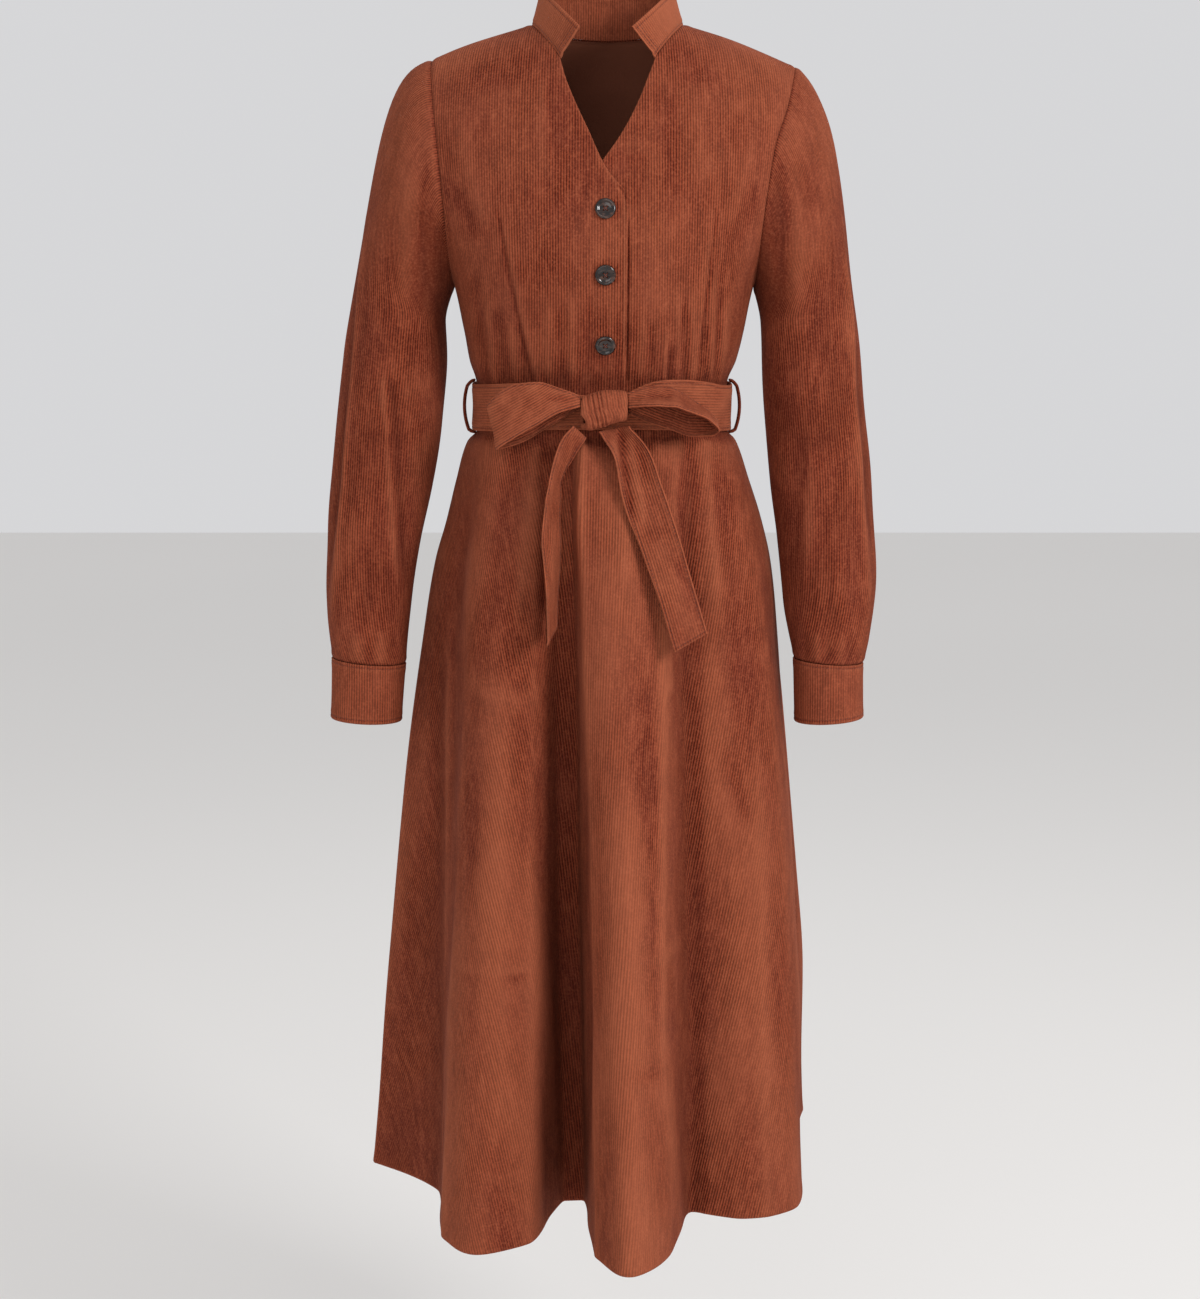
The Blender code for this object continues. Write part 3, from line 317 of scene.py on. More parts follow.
def side_edge(side, behind, rows):
    """Side seam from the waist to the armpit, then the armhole up to the shoulder tip."""
    seam = np.append(WAIST, np.linspace(BELT_TOP - BELT_DROP, ARMPIT, SIDE_ROWS))
    ease = np.linspace(0, 1, ARMHOLE_ROWS + 1)[1:]
    heights = at_rows(np.append(seam, ARMPIT + (SHOULDER_TIP[side][1] - ARMPIT) * ease**ARMHOLE_EASE), rows)
    quarter = math.pi / 2 if side > 0 else (1.5 * math.pi if behind else -math.pi / 2)
    line = edge_line(heights, side * read(ARMHOLE, 1 if side < 0 else 2, heights), behind)
    line[rows <= SIDE_ROWS, 0] = quarter
    return line


def front_edge(side, rows):
    """A front's edge from the waist up: straight, the V, then the neck seam to the shoulder."""
    notch_x, notch_z = NOTCH[side]
    straight = np.append(WAIST, np.linspace(BELT_TOP, V_FOOT, PLACKET_ROWS))
    slant = np.linspace(V_FOOT, notch_z, V_ROWS + 1)[1:]
    heights = at_rows(np.concatenate([straight, slant, np.linspace(notch_z, 0, NECK_ROWS + 1)[1:]]), rows)
    reach = read(V_EDGE, 1 if side < 0 else 2, heights)
    bow = np.clip(1 - heights / notch_z, 0, 1)
    neck = -(notch_x + (NECK_SIDE[side] - notch_x) * bow**NECK_CURVE)
    xs = np.where(rows <= PLACKET_ROWS, LAP_EDGE, np.where(rows <= PLACKET_ROWS + V_ROWS, reach, neck))
    return edge_line(heights, xs * -side)


def shoulder_edge(side, columns, behind=False):
    xs = side * (NECK_SIDE[side] + (SHOULDER_TIP[side][0] - NECK_SIDE[side]) * columns / FRONT_COLUMNS)
    return edge_line(shoulder_line(xs), xs, behind)


def run_of(points, axis):
    """Distance along a line of points, or along a grid from its first row or column."""
    step = np.linalg.norm(np.diff(points, axis=axis), axis=-1)
    start = np.zeros_like(step[:1] if axis == 0 else step[:, :1])
    return np.concatenate([start, np.cumsum(step, axis)], axis)


GIRTH_TURNS, GIRTH_HEIGHTS = (-0.2, 2 * math.pi, 500), (-0.40, 0.01, 60)  # from, to, how many


def girth(angle, height):
    """Distance round the body from the front middle at each height: the cloth's place across its grain."""
    angles, heights = np.linspace(*GIRTH_TURNS), np.linspace(*GIRTH_HEIGHTS)
    run = run_of(torso(angles[None], heights[:, None]), 1)
    i = np.clip((height - heights[0]) / (heights[1] - heights[0]), 0, len(heights) - 1.001)
    low = i.astype(int)
    out = np.zeros(angle.shape)
    for k in range(len(heights)):
        for step, share in ((0, 1 - (i - low)), (1, i - low)):
            here = low + step == k
            middle = np.interp(0.0, angles, run[k])
            out[here] += (share * (np.interp(np.abs(angle), angles, run[k]) - middle))[here]
    return out * np.sign(angle)


OPEN_ENDS = (-0.347, -0.405, -0.632, -1.190)  # creases run out under the belt and at the cuffs and the hem
CREASE_LEGS, CREASE_FADE, END_REACH = 12, 0.3, 0.012


def side_views(points, normals, table, behind=False):
    """Heights of the creases in a table at each point, on the side of the garment that faces the viewer."""
    total = np.zeros(points.shape[:-1])
    flat = points[..., [0, 2]]
    t = np.linspace(0, 1, CREASE_LEGS + 1)[:, None]
    for *line, width, height in table:
        a, b, c = np.array(line, float).reshape(3, 2) / 1000
        path = (1 - t) ** 2 * a + 2 * t * (1 - t) * b + t * t * c
        nearest, place = np.full(total.shape, np.inf), np.zeros(total.shape)
        for k in range(CREASE_LEGS):
            leg = path[k + 1] - path[k]
            share = np.clip((flat - path[k]) @ leg / (leg @ leg), 0, 1)
            gap = np.linalg.norm(flat - path[k] - share[..., None] * leg, axis=-1)
            place = np.where(gap < nearest, (k + share) / CREASE_LEGS, place)
            nearest = np.minimum(gap, nearest)
        for end, along in ((a, place), (c, 1 - place)):
            if min(abs(end[1] - stop) for stop in OPEN_ENDS) > END_REACH:
                height = height * np.sin(math.pi / 2 * np.clip(along / CREASE_FADE, 0, 1))
        total += height / 1000 * np.exp(-((nearest * 1000 / width) ** 1.5))
    toward = normals[..., 1] * (1 if behind else -1)
    return total * np.clip(toward * 3, 0, 1)


WAVES, WAVES_TOGETHER = 14, 3.7  # the sum of 14 waves is about 3.7 times as high as one


def unevenness(points, seed, size, reach=0.085, along=2.6):
    """Slow seeded waves that keep the cloth from lying dead flat, longer up and down than across."""
    rng = np.random.default_rng(seed)
    total = np.zeros(points.shape[:-1])
    for _ in range(WAVES):
        way = rng.normal(size=3)
        way /= np.linalg.norm(way)
        way[2] /= along
        total += np.sin(points @ way * (2 * math.pi / (reach * rng.uniform(0.5, 1.5))) + rng.uniform(0, 6.28))
    return size * total / WAVES_TOGETHER


def creased(front, back, *waves):
    """The relief of a piece: its creases as seen from the front and from behind, and its slow waves."""

    def relief(points, normals):
        drawn = side_views(points, normals, front) + side_views(points, normals, back, True)
        return drawn + unevenness(points, *waves)

    return relief


def grid_normals(points, ring, turned):
    """Unit normals of a grid of points, outward on the garment."""
    if ring:
        wide = np.concatenate([points[:, -1:], points, points[:, :1]], 1)
        across = wide[:, 2:] - wide[:, :-2]
    else:
        across = np.gradient(points, axis=1)
    normal = np.cross(across, np.gradient(points, axis=0))
    normal /= np.maximum(np.linalg.norm(normal, axis=-1, keepdims=True), 1e-12)
    return -normal if turned else normal


def settled(points, ring, rounds):
    """The grid smoothed by its neighbours, its rim free to move too."""
    for _ in range(rounds):
        before, after = (points[:, -1:], points[:, :1]) if ring else (points[:, :1], points[:, -1:])
        wide = np.concatenate([before, points, after], 1)
        tall = np.concatenate([points[:1], points, points[-1:]], 0)
        points = (wide[:, 2:] + wide[:, :-2] + tall[2:] + tall[:-2]) / 4
    return points


RIM_STEPS = 3
EDGE_NAMES = ("foot", "top", "left", "right")
SEAM_HOLD, SEAM_MEET = 0.005, 0.00002  # how far in a seam holds the cloth flat, and what stays open in it
MEET_REACH = 0.004  # how far in a seam's cloth turns towards its neighbour's facing
# Cloth near its edges: heights in metres, and how far in each reaches in millimetres.
FOLD_SWELL, SWELL_REACH, FOLD_ROUND, ROUND_REACH = 0.00045, 9.0, 0.0005, 0.5
SEAM_SINK, SINK_REACH, SEAM_RIDGE, RIDGE_PLACE, RIDGE_REACH = 0.0009, 1.6, 0.0004, 5.0, 3.0
STITCH_DENT, DENT_REACH = 0.0006, 0.8
# Pile tone painted from the relief: worn pile and painted highlight on ridges, painted shade in hollows.
# Rims are painted lighter and inner faces darker. How much, and how soon for each metre of height.
FOLD_EDGE_WEAR_AND_LIGHT, FOLD_EDGE_LIGHT_REACH, STITCH_SHADE = 0.0012, 1.3, 0.0014
RIDGE_WEAR_LIGHT_AND_SHADE, CREASE_WEAR_LIGHT_AND_SHADE, DARKEST = (0.6, 450), (0.3, 400), -0.55
INNER_SHADE, RIM_WEAR_AND_LIGHT, LAST_ROWS_RIDGE_SHARE = -0.2, 0.2, 0.3
RIDGE_ROUNDS = 40


def cells(grid):
    """The four corners of each cell of a grid."""
    return np.stack([grid[:-1, :-1], grid[:-1, 1:], grid[1:, 1:], grid[1:, :-1]], 2)


def cloth(
    name, points, grain, wall=WALL, ring=False, turned=False, edges=None, relief=None, meet=None, brushed_and_painted_light=0.0
):
    """A closed thin piece from its outer grid. Each edge is a seam, (0,), which sinks, or a fold, which is
    rounded and swells: (1, distances of its stitched lines from it). meet holds the facing that a seam shares
    with its neighbour. brushed_and_painted_light above 0 makes the pile lighter all over and below 0 darker:
    brushed pile, and painted light and shade for how the whole piece is lit."""
    edges, meet = edges or {}, meet or {}
    normals = grid_normals(points, ring, turned)
    raise_by = np.zeros(points.shape[:-1]) if relief is None else relief(points, normals)
    up, across = run_of(points, 0), run_of(points, 1)
    distance = {"foot": up, "top": up[-1] - up, "left": across, "right": across[:, -1:] - across}

    def turned_to_meet(ways):
        """The facings, turned near a shared seam to the one that the neighbour has there."""
        for key, shared in meet.items():
            near = np.exp(-((distance[key] / MEET_REACH) ** 2))[..., None]
            shared = np.asarray(shared, float)
            shared = shared[None] if key in ("foot", "top") and shared.ndim > 1 else shared
            shared = shared[:, None] if key in ("left", "right") and shared.ndim > 1 else shared
            ways = ways * (1 - near) + shared * near
            ways = ways / np.linalg.norm(ways, axis=-1, keepdims=True)
        return ways

    normals = turned_to_meet(normals)
    own_edges = EDGE_NAMES[: 2 if ring else 4]
    for key in own_edges:
        if np.max(edges.get(key, (1,))[0]) < 1:
            raise_by = raise_by * (1 - np.exp(-((distance[key] / SEAM_HOLD) ** 2)))
    drawn = raise_by
    outward, base, points = {}, points, points.copy()
    rows, columns = points.shape[:2]
    for key in own_edges:
        fold, *lines = edges.get(key, (1,))
        level = key in ("foot", "top")
        fold = np.asarray(fold, float) * np.ones(columns if level else rows)
        share = fold[None, :] if level else fold[:, None]
        d = distance[key] * 1000
        rolled = FOLD_SWELL * np.exp(-((d / SWELL_REACH) ** 4)) - FOLD_ROUND * np.exp(-d / ROUND_REACH)
        ridge = SEAM_RIDGE * np.exp(-(((d - RIDGE_PLACE) / RIDGE_REACH) ** 2))
        sunk = -SEAM_SINK * np.exp(-d / SINK_REACH) + ridge
        raise_by = raise_by + share * rolled + (1 - share) * sunk
        # Folded edges painted lighter: worn edge and painted highlight.
        drawn = drawn + share * FOLD_EDGE_WEAR_AND_LIGHT * np.exp(-((d / FOLD_EDGE_LIGHT_REACH) ** 2))
        for line in lines:
            groove = np.exp(-(((d - line) / DENT_REACH) ** 2))
            # Stitch grooves painted darker: painted shade in the dent.
            raise_by, drawn = raise_by - STITCH_DENT * groove, drawn - STITCH_SHADE * groove
        here = {"foot": np.s_[0], "top": np.s_[-1], "left": np.s_[:, 0], "right": np.s_[:, -1]}[key]
        next_in = {"foot": np.s_[1], "top": np.s_[-2], "left": np.s_[:, 1], "right": np.s_[:, -2]}[key]
        away = base[here] - base[next_in]
        length = np.maximum(np.linalg.norm(away, axis=-1, keepdims=True), 1e-12)
        away = away / length
        pull = np.minimum((fold * wall + (1 - fold) * SEAM_MEET)[:, None] / 2, 0.5 * length)
        points[here] -= away * pull
        outward[key] = away * fold[:, None] * wall / 2
    outer = points + normals * raise_by[..., None]
    facing = grid_normals(outer, ring, turned)
    # The walls of two flat single panels also meet along one face, so that neither cuts into the other.
    inner = outer - (turned_to_meet(facing) if wall == WALL and not ring else facing) * wall
    count = rows * columns
    index = np.arange(count).reshape(rows, columns)
    verts = [outer.reshape(-1, 3), inner.reshape(-1, 3)]
    faces, corners = [], []

    def strip(grid, places, flip):
        quads, spots = cells(grid).reshape(-1, 4), cells(places).reshape(-1, 4, 2)
        faces.append(quads[:, ::-1] if flip else quads)
        corners.append(spots[:, ::-1] if flip else spots)

    def wrap(grid):
        return np.concatenate([grid, grid[:, :1]], 1) if ring else grid

    strip(wrap(index), grain, turned)
    strip(wrap(index) + count, grain, not turned)

    def rim(ids, places, out):
        """Rounds the wall's edge over from the outer face to the inner one."""
        total = sum(len(v) for v in verts)
        closed = ids[0] == ids[-1]
        ends = ids[:-1] if closed else ids
        out = out[:-1] if closed else out
        levels = [ids]
        for k in range(1, RIM_STEPS + 1):
            turn = math.pi * k / (RIM_STEPS + 1)
            here = outer.reshape(-1, 3)[ends] * (1 + math.cos(turn)) / 2
            here = here + inner.reshape(-1, 3)[ends] * (1 - math.cos(turn)) / 2 + out * math.sin(turn)
            verts.append(here)
            fresh = np.arange(total, total + len(ends))
            total += len(ends)
            levels.append(np.append(fresh, fresh[0]) if closed else fresh)
        levels.append(ids + count)
        strip(np.array(levels), np.repeat(places[None], RIM_STEPS + 2, 0), not turned)

    if ring:
        wide = wrap(index)
        foot, top = (np.concatenate([outward[k], outward[k][:1]]) for k in ("foot", "top"))
        rim(wide[0], grain[0], foot)
        rim(wide[-1][::-1], grain[-1][::-1], top[::-1])
    else:
        loop = [index[0, :-1], index[:-1, -1], index[-1, :0:-1], index[::-1, 0]]
        places = [grain[0, :-1], grain[:-1, -1], grain[-1, :0:-1], grain[::-1, 0]]
        out = {k: v.copy() for k, v in outward.items()}
        out["foot"][0] += out["left"][0]
        out["right"][0] += out["foot"][-1]
        out["top"][-1] += out["right"][-1]
        out["left"][-1] += out["top"][0]
        sides = [out["foot"][:-1], out["right"][:-1], out["top"][:0:-1], out["left"][::-1]]
        sides[3] = np.concatenate([sides[3][:-1], out["foot"][:1]])
        rim(np.concatenate(loop), np.concatenate(places), np.concatenate(sides))
    verts, faces, corners = (np.concatenate(parts) for parts in (verts, faces, corners))
    made = mesh_object(name + "_cloth", verts, faces, corduroy, corners)
    # Painted light and shade: the pile is lighter on ridges, as worn pile with painted highlight, and darker
    # in hollows, as painted shade.
    ridge = ((outer - settled(outer, ring, RIDGE_ROUNDS)) * facing).sum(-1)
    ridge[[0, 1, -2, -1]] *= LAST_ROWS_RIDGE_SHARE
    wear_and_painted_light = np.zeros(len(verts))
    for (most, gain), height in ((RIDGE_WEAR_LIGHT_AND_SHADE, ridge), (CREASE_WEAR_LIGHT_AND_SHADE, drawn)):
        wear_and_painted_light[:count] += most * np.tanh(height.reshape(-1) * gain)
    wear_and_painted_light[:count] = brushed_and_painted_light + np.maximum(wear_and_painted_light[:count], DARKEST)
    # Inner faces painted darker: painted shade inside the doubled pieces.
    wear_and_painted_light[count : 2 * count] = INNER_SHADE + brushed_and_painted_light
    # Rims painted lighter: worn edge and painted highlight.
    wear_and_painted_light[2 * count :] = RIM_WEAR_AND_LIGHT + brushed_and_painted_light
    wrong_side = np.zeros(len(wear_and_painted_light))
    wrong_side[count : 2 * count] = wall == WALL
    for label, values in (("wear_and_painted_light", wear_and_painted_light), ("wrong_side", wrong_side)):
        made.data.attributes.new(label, "FLOAT", "POINT").data.foreach_set("value", values.astype(np.float32))
    return made, outer, facing


# Cotton corduroy: woven with cut pile in fine cords. The colour paints the cords: painted highlight on their
# tops and painted shade in the furrows, besides the bump that ribs them. Where the pile has been pressed the
# cords fade into flat, duller patches with strokes along them.
CORD_PITCH = 0.0027  # real cloth has about 2.2 mm between cords, drawn coarser so that they show
CORD_DEPTH = 0.0006
CORD_WANDER = 0.00035  # cords never run quite straight
PRESSED_PATCH, PATCH_SHOWS, PATCH_FULL = (22.0, 22.0, 9.0), 0.42, 0.66  # about 45 mm across and 110 mm high
CORD_LEFT = 0.35  # share of the cords' height that is left in a pressed patch
CRUSHED_BLOT = (70.0, 70.0, 34.0)  # smaller blots about 14 mm across and 30 mm high
STROKE = (190.0, 34.0, 1.0)  # strokes about 5 mm across and 30 mm along the cords
PILE_GRAIN = 0.0022  # pile tufts are about 0.5 mm, drawn as coarse as the render shows
FURROW, CORD_TOP, PRESSED = linear("#3a120a"), linear("#924229"), linear("#6d3023")
STROKE_DARK, STROKE_LIGHT = linear("#451911"), linear("#a3583d")
# Painted colours: the crest is worn pile with painted highlight on ridges, the hollow is painted shade.
CREST_WEAR_AND_HIGHLIGHT, HOLLOW_SHADE = linear("#b46748"), linear("#3a1109")
WRONG_SIDE = linear("#87503c")  # the plain woven back of the cloth

corduroy, tree, surface = new_material(
    "Cotton corduroy", roughness=0.95, sheen_weight=0.08, sheen_roughness=0.5
)
surface.inputs["Sheen Tint"].default_value = linear("#d98a64")
surface.inputs["Specular IOR Level"].default_value = 0.1
flat = add_node(tree, "UVMap", uv_map="grain")
place = add_node(tree, "TexCoord").outputs["Object"]
across = add_node(tree, "SeparateXYZ", {"Vector": flat.outputs["UV"]})
drift = add_node(tree, "TexNoise", {"Vector": place, "Scale": 22.0, "Detail": 1.0})
shift = add_node(tree, "Math", {0: drift.outputs["Fac"], 1: 2 * CORD_WANDER}, operation="MULTIPLY")
where = add_node(tree, "Math", {0: across.outputs["X"], 1: shift.outputs["Value"]}, operation="ADD")
phase = add_node(tree, "Math", {0: where.outputs["Value"], 1: 2 * math.pi / CORD_PITCH}, operation="MULTIPLY")
wave = add_node(tree, "Math", {0: phase.outputs["Value"]}, operation="SINE")
cord = add_node(tree, "MapRange", {"Value": wave.outputs["Value"], "From Min": -1.0, "From Max": 0.6})
feeds = {"Vector": place, "Scale": 1 / PILE_GRAIN, "Detail": 3.0, "Roughness": 0.65}
tufts = add_node(tree, "TexNoise", feeds)
marks = []
for laid_on, scale, detail, roughness in (
    (place, PRESSED_PATCH, 6.0, 0.6),
    (flat.outputs["UV"], STROKE, 4.0, 0.7),
    (place, CRUSHED_BLOT, 5.0, 0.65),
):
    laid = add_node(tree, "Mapping", {"Vector": laid_on, "Scale": scale})
    feeds = {"Vector": laid.outputs["Vector"], "Scale": 1.0, "Detail": detail, "Roughness": roughness}
    marks.append(add_node(tree, "TexNoise", feeds))
patches, strokes, blots = marks
wear_and_light_paint = add_node(tree, "Attribute", attribute_name="wear_and_painted_light")
plain = add_node(tree, "Attribute", attribute_name="wrong_side")
TONES = [  # what drives each, where it starts and is full, the most of it that shows, its colour
    (cord.outputs["Result"], 0.0, 1.0, 1.0, CORD_TOP),
    (patches.outputs["Fac"], PATCH_SHOWS, PATCH_FULL, 0.60, PRESSED),
    (strokes.outputs["Fac"], 0.50, 0.78, 0.62, STROKE_DARK),
    (strokes.outputs["Fac"], 0.50, 0.24, 0.50, STROKE_LIGHT),
    (blots.outputs["Fac"], 0.50, 0.72, 0.24, STROKE_DARK),
    (blots.outputs["Fac"], 0.50, 0.30, 0.24, STROKE_LIGHT),
    (tufts.outputs["Fac"], 0.50, 0.75, 0.48, STROKE_DARK),
    (tufts.outputs["Fac"], 0.50, 0.30, 0.50, STROKE_LIGHT),
    # Painted highlight and worn pile on ridges, edges and rims; painted shade in hollows, grooves and inner
    # faces.
    (wear_and_light_paint.outputs["Fac"], 0.0, 1.2, 0.65, CREST_WEAR_AND_HIGHLIGHT),
    (wear_and_light_paint.outputs["Fac"], 0.0, -1.2, 0.65, HOLLOW_SHADE),
    (plain.outputs["Fac"], 0.0, 1.0, 1.0, WRONG_SIDE),
]
tone = FURROW
for driver, start, full, most, colour in TONES:
    feeds = {"Value": driver, "From Min": start, "From Max": full, "To Max": most}
    share = add_node(tree, "MapRange", feeds).outputs["Result"]
    tone = add_node(tree, "Mix", {0: share, 6: tone, 7: colour}, data_type="RGBA").outputs[2]
tree.links.new(tone, surface.inputs["Base Color"])
feeds = {"From Min": PATCH_SHOWS, "From Max": PATCH_FULL, "To Min": 1.0, "To Max": CORD_LEFT}
standing = add_node(tree, "MapRange", {"Value": patches.outputs["Fac"], **feeds})
right_side = add_node(tree, "Math", {0: 1.0, 1: plain.outputs["Fac"]}, operation="SUBTRACT")
feeds = {0: standing.outputs["Result"], 1: right_side.outputs["Value"]}
upright = add_node(tree, "Math", feeds, operation="MULTIPLY")
ribs = add_node(tree, "Math", {0: cord.outputs["Result"], 1: upright.outputs["Value"]}, operation="MULTIPLY")
fuzz = add_node(tree, "Math", {0: tufts.outputs["Fac"], 1: 0.6}, operation="MULTIPLY")
height = add_node(tree, "Math", {0: ribs.outputs["Value"], 1: fuzz.outputs["Value"]}, operation="ADD")
relief = add_node(tree, "Bump", {"Height": height.outputs["Value"], "Distance": CORD_DEPTH, "Strength": 0.9})
tree.links.new(relief.outputs["Normal"], surface.inputs["Normal"])


def declare(piece, node):
    """The piece stands for its node: it rides on the root, and the node is hidden."""
    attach(piece, "root")
    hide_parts(node)


BODICE_WAVES, UPWARD = 0.0007, (0.0, 0.0, 1.0)
BUTTON_HEIGHTS, BUTTON_MIDDLE = (-0.1810, -0.2430, -0.3105), 0.0012
BUTTON_SEAT = 0.013  # how far round a button's middle the cloth lies flat under it


def front_relief(points, normals):
    drawn = creased(FRONT_CREASES, (), 3, BODICE_WAVES)(points, normals)
    for height in BUTTON_HEIGHTS:
        from_button = np.hypot(points[..., 0] - BUTTON_MIDDLE, points[..., 2] - height)
        drawn = drawn * (1 - np.exp(-((from_button / BUTTON_SEAT) ** 6)))
    return drawn


rows = spaced(SIDE_ROWS + ARMHOLE_ROWS, 8)
front_columns = spaced(FRONT_COLUMNS, 10)
LAP_COLUMNS = (1.2, 1.7, 13)  # finer columns where the left front passes under the lap's edge
neck_share = np.where(rows <= PLACKET_ROWS + V_ROWS, 1.0, 0.0)
fronts = {}
for side, name in ((-1, "bodice_front_right"), (1, "bodice_front_left")):
    inner, outer = front_edge(side, rows), side_edge(side, False, rows)
    if side > 0:
        front_columns = np.union1d(front_columns, np.linspace(*LAP_COLUMNS))
    turns = inner[0, 0] + (outer[0, 0] - inner[0, 0]) * front_columns / FRONT_COLUMNS
    waist = np.stack([turns, np.full_like(turns, WAIST)], -1)
    top = shoulder_edge(side, front_columns)
    if side < 0:
        grid = patch(waist[::-1], top[::-1], outer, inner, front_columns, rows)
    else:
        grid = patch(waist, top, inner, outer, front_columns, rows)
    points = torso(grid[..., 0], grid[..., 1])
    if side > 0:  # it lies one wall deeper under the lap
        inside = np.clip((LAP_REACH - points[..., 0]) / LAP_FADE, 0, 1)
        below = np.clip((LAP_TOP - points[..., 2]) / LAP_FADE, 0, 1)
        sink = (WALL + LAP_CLEARANCE) * inside**2 * (3 - 2 * inside) * below**2 * (3 - 2 * below)
        points[..., 1] += sink
    fronts[side] = points
    grain = np.stack([girth(grid[..., 0], grid[..., 1]), grid[..., 1]], -1)
    open_edge, sewn_edge = ("right", "left") if side < 0 else ("left", "right")
    edges = {"foot": (0,), "top": (0,), open_edge: (neck_share,), sewn_edge: (0,)}
    piece, *_ = cloth(name, points, grain, edges=edges, relief=front_relief, meet={"top": UPWARD})
    declare(piece, name)

back_columns = spaced(2 * FRONT_COLUMNS + BACK_NECK_COLUMNS, 6)
left, right = side_edge(1, True, rows), side_edge(-1, True, rows)
turns = np.interp(back_columns, (0, back_columns[-1]), (left[0, 0], right[0, 0]))
waist = np.stack([turns, np.full_like(turns, WAIST)], -1)
neck_turn = math.pi * np.clip((back_columns - FRONT_COLUMNS) / BACK_NECK_COLUMNS, 0, 1)
neck_half = (NECK_SIDE[1] + NECK_SIDE[-1]) / 2
neck = edge_line(-BACK_NECK_DROP * np.sin(neck_turn), NECK_SHIFT + neck_half * np.cos(neck_turn), True)
near, far = back_columns <= FRONT_COLUMNS, back_columns >= FRONT_COLUMNS + BACK_NECK_COLUMNS
neck[near] = shoulder_edge(1, FRONT_COLUMNS - back_columns[near], True)
neck[far] = shoulder_edge(-1, back_columns[far] - FRONT_COLUMNS - BACK_NECK_COLUMNS, True)
grid = patch(waist, neck, left, right, back_columns, rows)
back = torso(grid[..., 0], grid[..., 1])
grain = np.stack([girth(grid[..., 0] - math.pi, grid[..., 1]), grid[..., 1]], -1)
relief = creased((), BACK_CREASES, 3, BODICE_WAVES)
edges = {k: (0,) for k in EDGE_NAMES}
piece, *_ = cloth("bodice_back", back, grain, edges=edges, relief=relief, meet={"top": UPWARD})
declare(piece, "bodice_back")


# ---- collar ----------------------------------------------------------------------------------------------
# A stand of two layers of the same corduroy, turned at its top and ends and topstitched along them. It is
# sewn into the neck seam, and its front ends slant up and back from the notches.

DOUBLE_WALL, COLLAR_CUT = 0.0026, (0.055, 0.42)
COLLAR_TOP = [  # share of the way to the back, side distance, depth, height
    (0.00, 0.0232, -0.0790, -0.0085),
    (0.23, 0.0480, -0.0530, 0.0165),
    (0.46, 0.0640, -0.0040, 0.0335),
    (0.73, 0.0440, 0.0420, 0.0340),
    (1.00, 0.0000, 0.0560, 0.0300),
]
COLLAR_COLUMNS, COLLAR_END_COLUMNS = 90, np.array([0.0012, 0.003, 0.0055, 0.0085, 0.012])
COLLAR_TOP_STITCH, COLLAR_FOOT_STITCH, COLLAR_END_STITCHES = 4.0, 2.5, (3.5, 7.5)  # mm from the edge
STITCH_LENGTH, STITCH_GAP, STITCH_THREAD = 0.0027, 0.0009, 0.00028  # half width of the thread
STITCH_SIDES = 6
STITCH = np.array([  # share along it, then height of its middle and size, in half widths of the thread
    (0.0, -0.9, 0.3),
    (0.12, 0.3, 0.95),
    (0.5, 0.75, 1.0),
    (0.88, 0.3, 0.95),
    (1.0, -0.9, 0.3),
])


def on_line(values, run, at):
    """A line's places or facings, read at distances along it."""
    return np.stack([np.interp(at, run, values[:, k]) for k in range(3)], -1)


def tube_faces(first, rings, sides):
    """Faces of a closed tube whose rings of vertices follow each other from the vertex `first`."""
    walls = []
    for k in range(rings - 1):
        for j in range(sides):
            a, b = first + sides * k + j, first + sides * k + (j + 1) % sides
            walls.append((a, b, b + sides, a + sides))
    last = first + sides * (rings - 1)
    return walls + [tuple(first + j for j in reversed(range(sides))), tuple(last + j for j in range(sides))]


def stitches(name, lines, material):
    """Rows of small thread stitches along lines of (points, facing). Each dips into the cloth at its ends."""
    verts, faces = [], []
    for path, facing in lines:
        run = run_of(path, 0)
        lift, size = STITCH_THREAD * STITCH[:, 1], STITCH_THREAD * STITCH[:, 2]
        for start in np.arange(0.0, run[-1] - STITCH_LENGTH, STITCH_LENGTH + STITCH_GAP):
            middle, up = (on_line(k, run, start + STITCH_LENGTH * STITCH[:, 0]) for k in (path, facing))
            way = middle[-1] - middle[0]
            beside = np.cross(way / np.linalg.norm(way), up)
            middle = middle + up * lift[:, None]
            faces += tube_faces(len(verts), len(STITCH), STITCH_SIDES)
            for k in range(len(STITCH)):
                for turn in np.linspace(0, 2 * math.pi, STITCH_SIDES, endpoint=False):
                    verts.append(middle[k] + size[k] * (math.cos(turn) * beside[k] + math.sin(turn) * up[k]))
    made = mesh_object(name, verts, faces, material)
    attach(made, "root")
    return made


def line_along(points, facing, edge, distance, start=0.0, stop=1.0):
    """The line on a piece's outer face at a distance from one of its edges, in millimetres."""
    if edge in ("left", "right"):
        points, facing = points.transpose(1, 0, 2), facing.transpose(1, 0, 2)
    if edge in ("top", "right"):
        points, facing = points[::-1], facing[::-1]
    run = run_of(points, 0)
    path, up = (
        np.array([on_line(grid[:, j], run[:, j], distance / 1000) for j in range(grid.shape[1])])
        for grid in (points, facing)
    )
    a, b = int(start * len(path)), int(stop * len(path))
    return path[a:b], up[a:b]


# Spun polyester sewing thread in the cloth's colour: a slight gloss picks the stitches out of the pile.
thread, tree, surface = new_material("Spun polyester thread", roughness=0.55)
twist = add_node(tree, "TexNoise", {"Scale": 900.0, "Detail": 2.0})
tone = add_node(tree, "ValToRGB", {"Fac": twist.outputs["Fac"]})
tone.color_ramp.elements[0].color, tone.color_ramp.elements[1].color = linear("#4c1d10"), linear("#743721")
tree.links.new(tone.outputs["Color"], surface.inputs["Base Color"])

